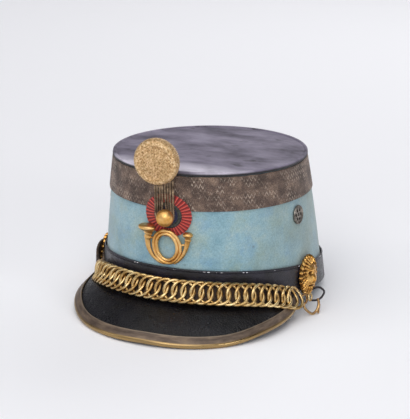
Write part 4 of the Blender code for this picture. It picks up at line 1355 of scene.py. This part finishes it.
def makeBoss(name, side, seat, node, material):
    place = sideFrame(side, boss["rise"][side], seat)
    rows = boss["rows"]

    def spot(u, v):
        turn = 2 * math.pi * u
        share = 1 - max(0, v * rows - 1) / (rows - 1)
        tuft = 0.035 * (1 + math.sin(turn * boss["tufts"] + 2.2 * math.sin(9))) * share ** 6
        x, y = math.sin(turn) * (share - tuft), math.cos(turn) * (share - tuft)
        level = 0 if v * rows < 0.5 else lionRelief(x, y)
        return place @ Vector((x * boss["width"] / 2, y * boss["height"] / 2, level * boss["relief"]))

    piece = addSheet(name, boss["columns"], rows, spot, 80, 20, closed=True)
    editMesh(piece, bpy.ops.mesh.fill_holes, sides=0)
    turnOutwards(piece)
    back = place.inverted()
    hollows = []
    for vertex in piece.data.vertices:
        flat = back @ vertex.co
        x, y = flat.x / boss["width"] * 2, flat.y / boss["height"] * 2
        around = [lionRelief(x + 0.09 * math.cos(t), y + 0.09 * math.sin(t)) for t in roundTurn(8)]
        sunk = sum(around) / 8 - lionRelief(x, y)
        hollows.append(min(1, max(0, 0.10 + sunk * 12)))
    layer = piece.data.attributes.new("hollow", "FLOAT", "POINT")
    layer.data.foreach_set("value", hollows)
    return finishPiece(piece, material, [node], 60)


bossMetal = makeBossMetal()
onBand = gap + hat["bandThickness"] + gap
onStrap = onBand + hat["strapThickness"] + gap
makeBoss("lionBossLeft", 1, onBand, "boss_left", bossMetal)
makeBoss("lionBossRight", -1, onStrap, "boss_right", bossMetal)


# Ventilators: a round pressed plate with a rolled rim and seven holes

def makeVent(name, side, node):
    vent = {"across": 14.5 * mm, "plate": 1.0 * mm, "hole": 2.3 * mm, "ring": 0.52}
    place = sideFrame(side, hat["ventRise"], gap)
    radius = vent["across"] / 2
    outline = ((0.00, 0.0), (0.97, 0.0), (1.00, 0.4), (1.00, 0.9), (0.97, 1.4), (0.90, 1.6), (0.83, 1.35),
               (0.79, 0.95), (0.74, 0.85), (0.40, 0.95), (0.00, 1.0))
    profile = [(radius * r, vent["plate"] * z) for r, z in outline]
    plate = addTurned(name, profile, Matrix.Identity(4), 64)
    holes = [(0, 0)] + [(radius * vent["ring"] * math.cos(t), radius * vent["ring"] * math.sin(t))
                        for t in roundTurn(6)]
    for x, y in holes:
        drillHole(plate, Matrix.Translation((x, y, 0)), vent["hole"] / 2, 8 * mm, 24)
    plate.data.transform(place)
    return finishPiece(plate, whiteMetal, [node], 40)


makeVent("ventilatorLeft", 1, "ventilator_left")
makeVent("ventilatorRight", -1, "ventilator_right")
print("horn, bosses and vents: made")


# Camera, light and floor

def addStage():
    deselectAll()
    bpy.ops.mesh.primitive_plane_add(size=8, location=(0, 0, -0.0002))
    floor = bpy.context.object
    floor.name = "floor"
    material, _, shader = newMaterial("palePaper", 0.9)
    setInputs(shader, {"Base Color": fromHex("#fbfbfe"), "Specular IOR Level": 0.1})
    floor.data.materials.append(material)


def addLight(name, kind, location, target, power, size):
    # size is a softbox's two sides in metres, or how many degrees of the sky a sun fills
    data = bpy.data.lights.new(name, kind)
    data.energy = power
    if kind == "SUN":
        data.angle = math.radians(size)
    else:
        data.shape = "RECTANGLE"
        data.size, data.size_y = size
    light = bpy.data.objects.new(name, data)
    bpy.context.scene.collection.objects.link(light)
    light.location = location
    aim = Vector(target) - Vector(location)
    light.rotation_euler = aim.to_track_quat("-Z", "Y").to_euler()


def addCamera():
    view = {"azimuth": 20.55, "elevation": 16.65, "roll": 1.49, "lens": 136.79,
            "spot": (0.4122, -1.1039, 0.4202)}
    data = bpy.data.cameras.new("camera")
    data.sensor_fit = "VERTICAL"
    data.sensor_width = 36
    data.sensor_height = 36
    data.lens = view["lens"]
    data.clip_start = 0.01
    camera = bpy.data.objects.new("camera", data)
    bpy.context.scene.collection.objects.link(camera)
    turn, lift, roll = (math.radians(view[k]) for k in ("azimuth", "elevation", "roll"))
    back = Vector((math.sin(turn) * math.cos(lift), -math.cos(turn) * math.cos(lift), math.sin(lift)))
    right = Vector((math.cos(turn), math.sin(turn), 0))
    up = back.cross(right)
    rolledRight = right * math.cos(roll) + up * math.sin(roll)
    rolledUp = up * math.cos(roll) - right * math.sin(roll)
    place = Matrix((rolledRight, rolledUp, back)).transposed().to_4x4()
    place.translation = view["spot"]
    camera.matrix_world = place
    bpy.context.scene.camera = camera


def addSky():
    world = bpy.data.worlds.new("studio")
    bpy.context.scene.world = world
    world.use_nodes = True
    tree = world.node_tree
    up = partOf(tree, addNode(tree, "ShaderNodeTexCoord").outputs["Generated"], "Z")
    colour = rampOf(tree, stepOf(tree, up, -0.1, 0.9), (0.0, "#d5d6de"), (0.12, "#ffffff"), (0.38, "#b4b5c0"),
                    (0.75, "#3c3c46"))
    background = tree.nodes["Background"]
    tree.links.new(colour, background.inputs["Color"])
    background.inputs["Strength"].default_value = 0.62


addStage()
addCamera()
addSky()
addLight("ceilingLight", "SUN", (0, 0, 2), (0.08, 0.34, 1), 1.7, 75)
addLight("frontSoftbox", "AREA", (0.45, -1.7, 1.1), (0, 0, 0.06), 12, (1.4, 0.9))
addLight("leftStrip", "AREA", (-1.35, -0.75, 0.6), (0, 0, 0.06), 1.5, (0.3, 0.5))
addLight("rightStrip", "AREA", (1.40, -0.72, 0.6), (0, 0, 0.06), 3, (0.3, 0.5))
addLight("backSoftbox", "AREA", (0.2, 1.5, 1.2), (0, 0, 0.1), 7, (1.4, 0.6))
bpy.context.scene.view_settings.view_transform = "Standard"
print("stage: made")
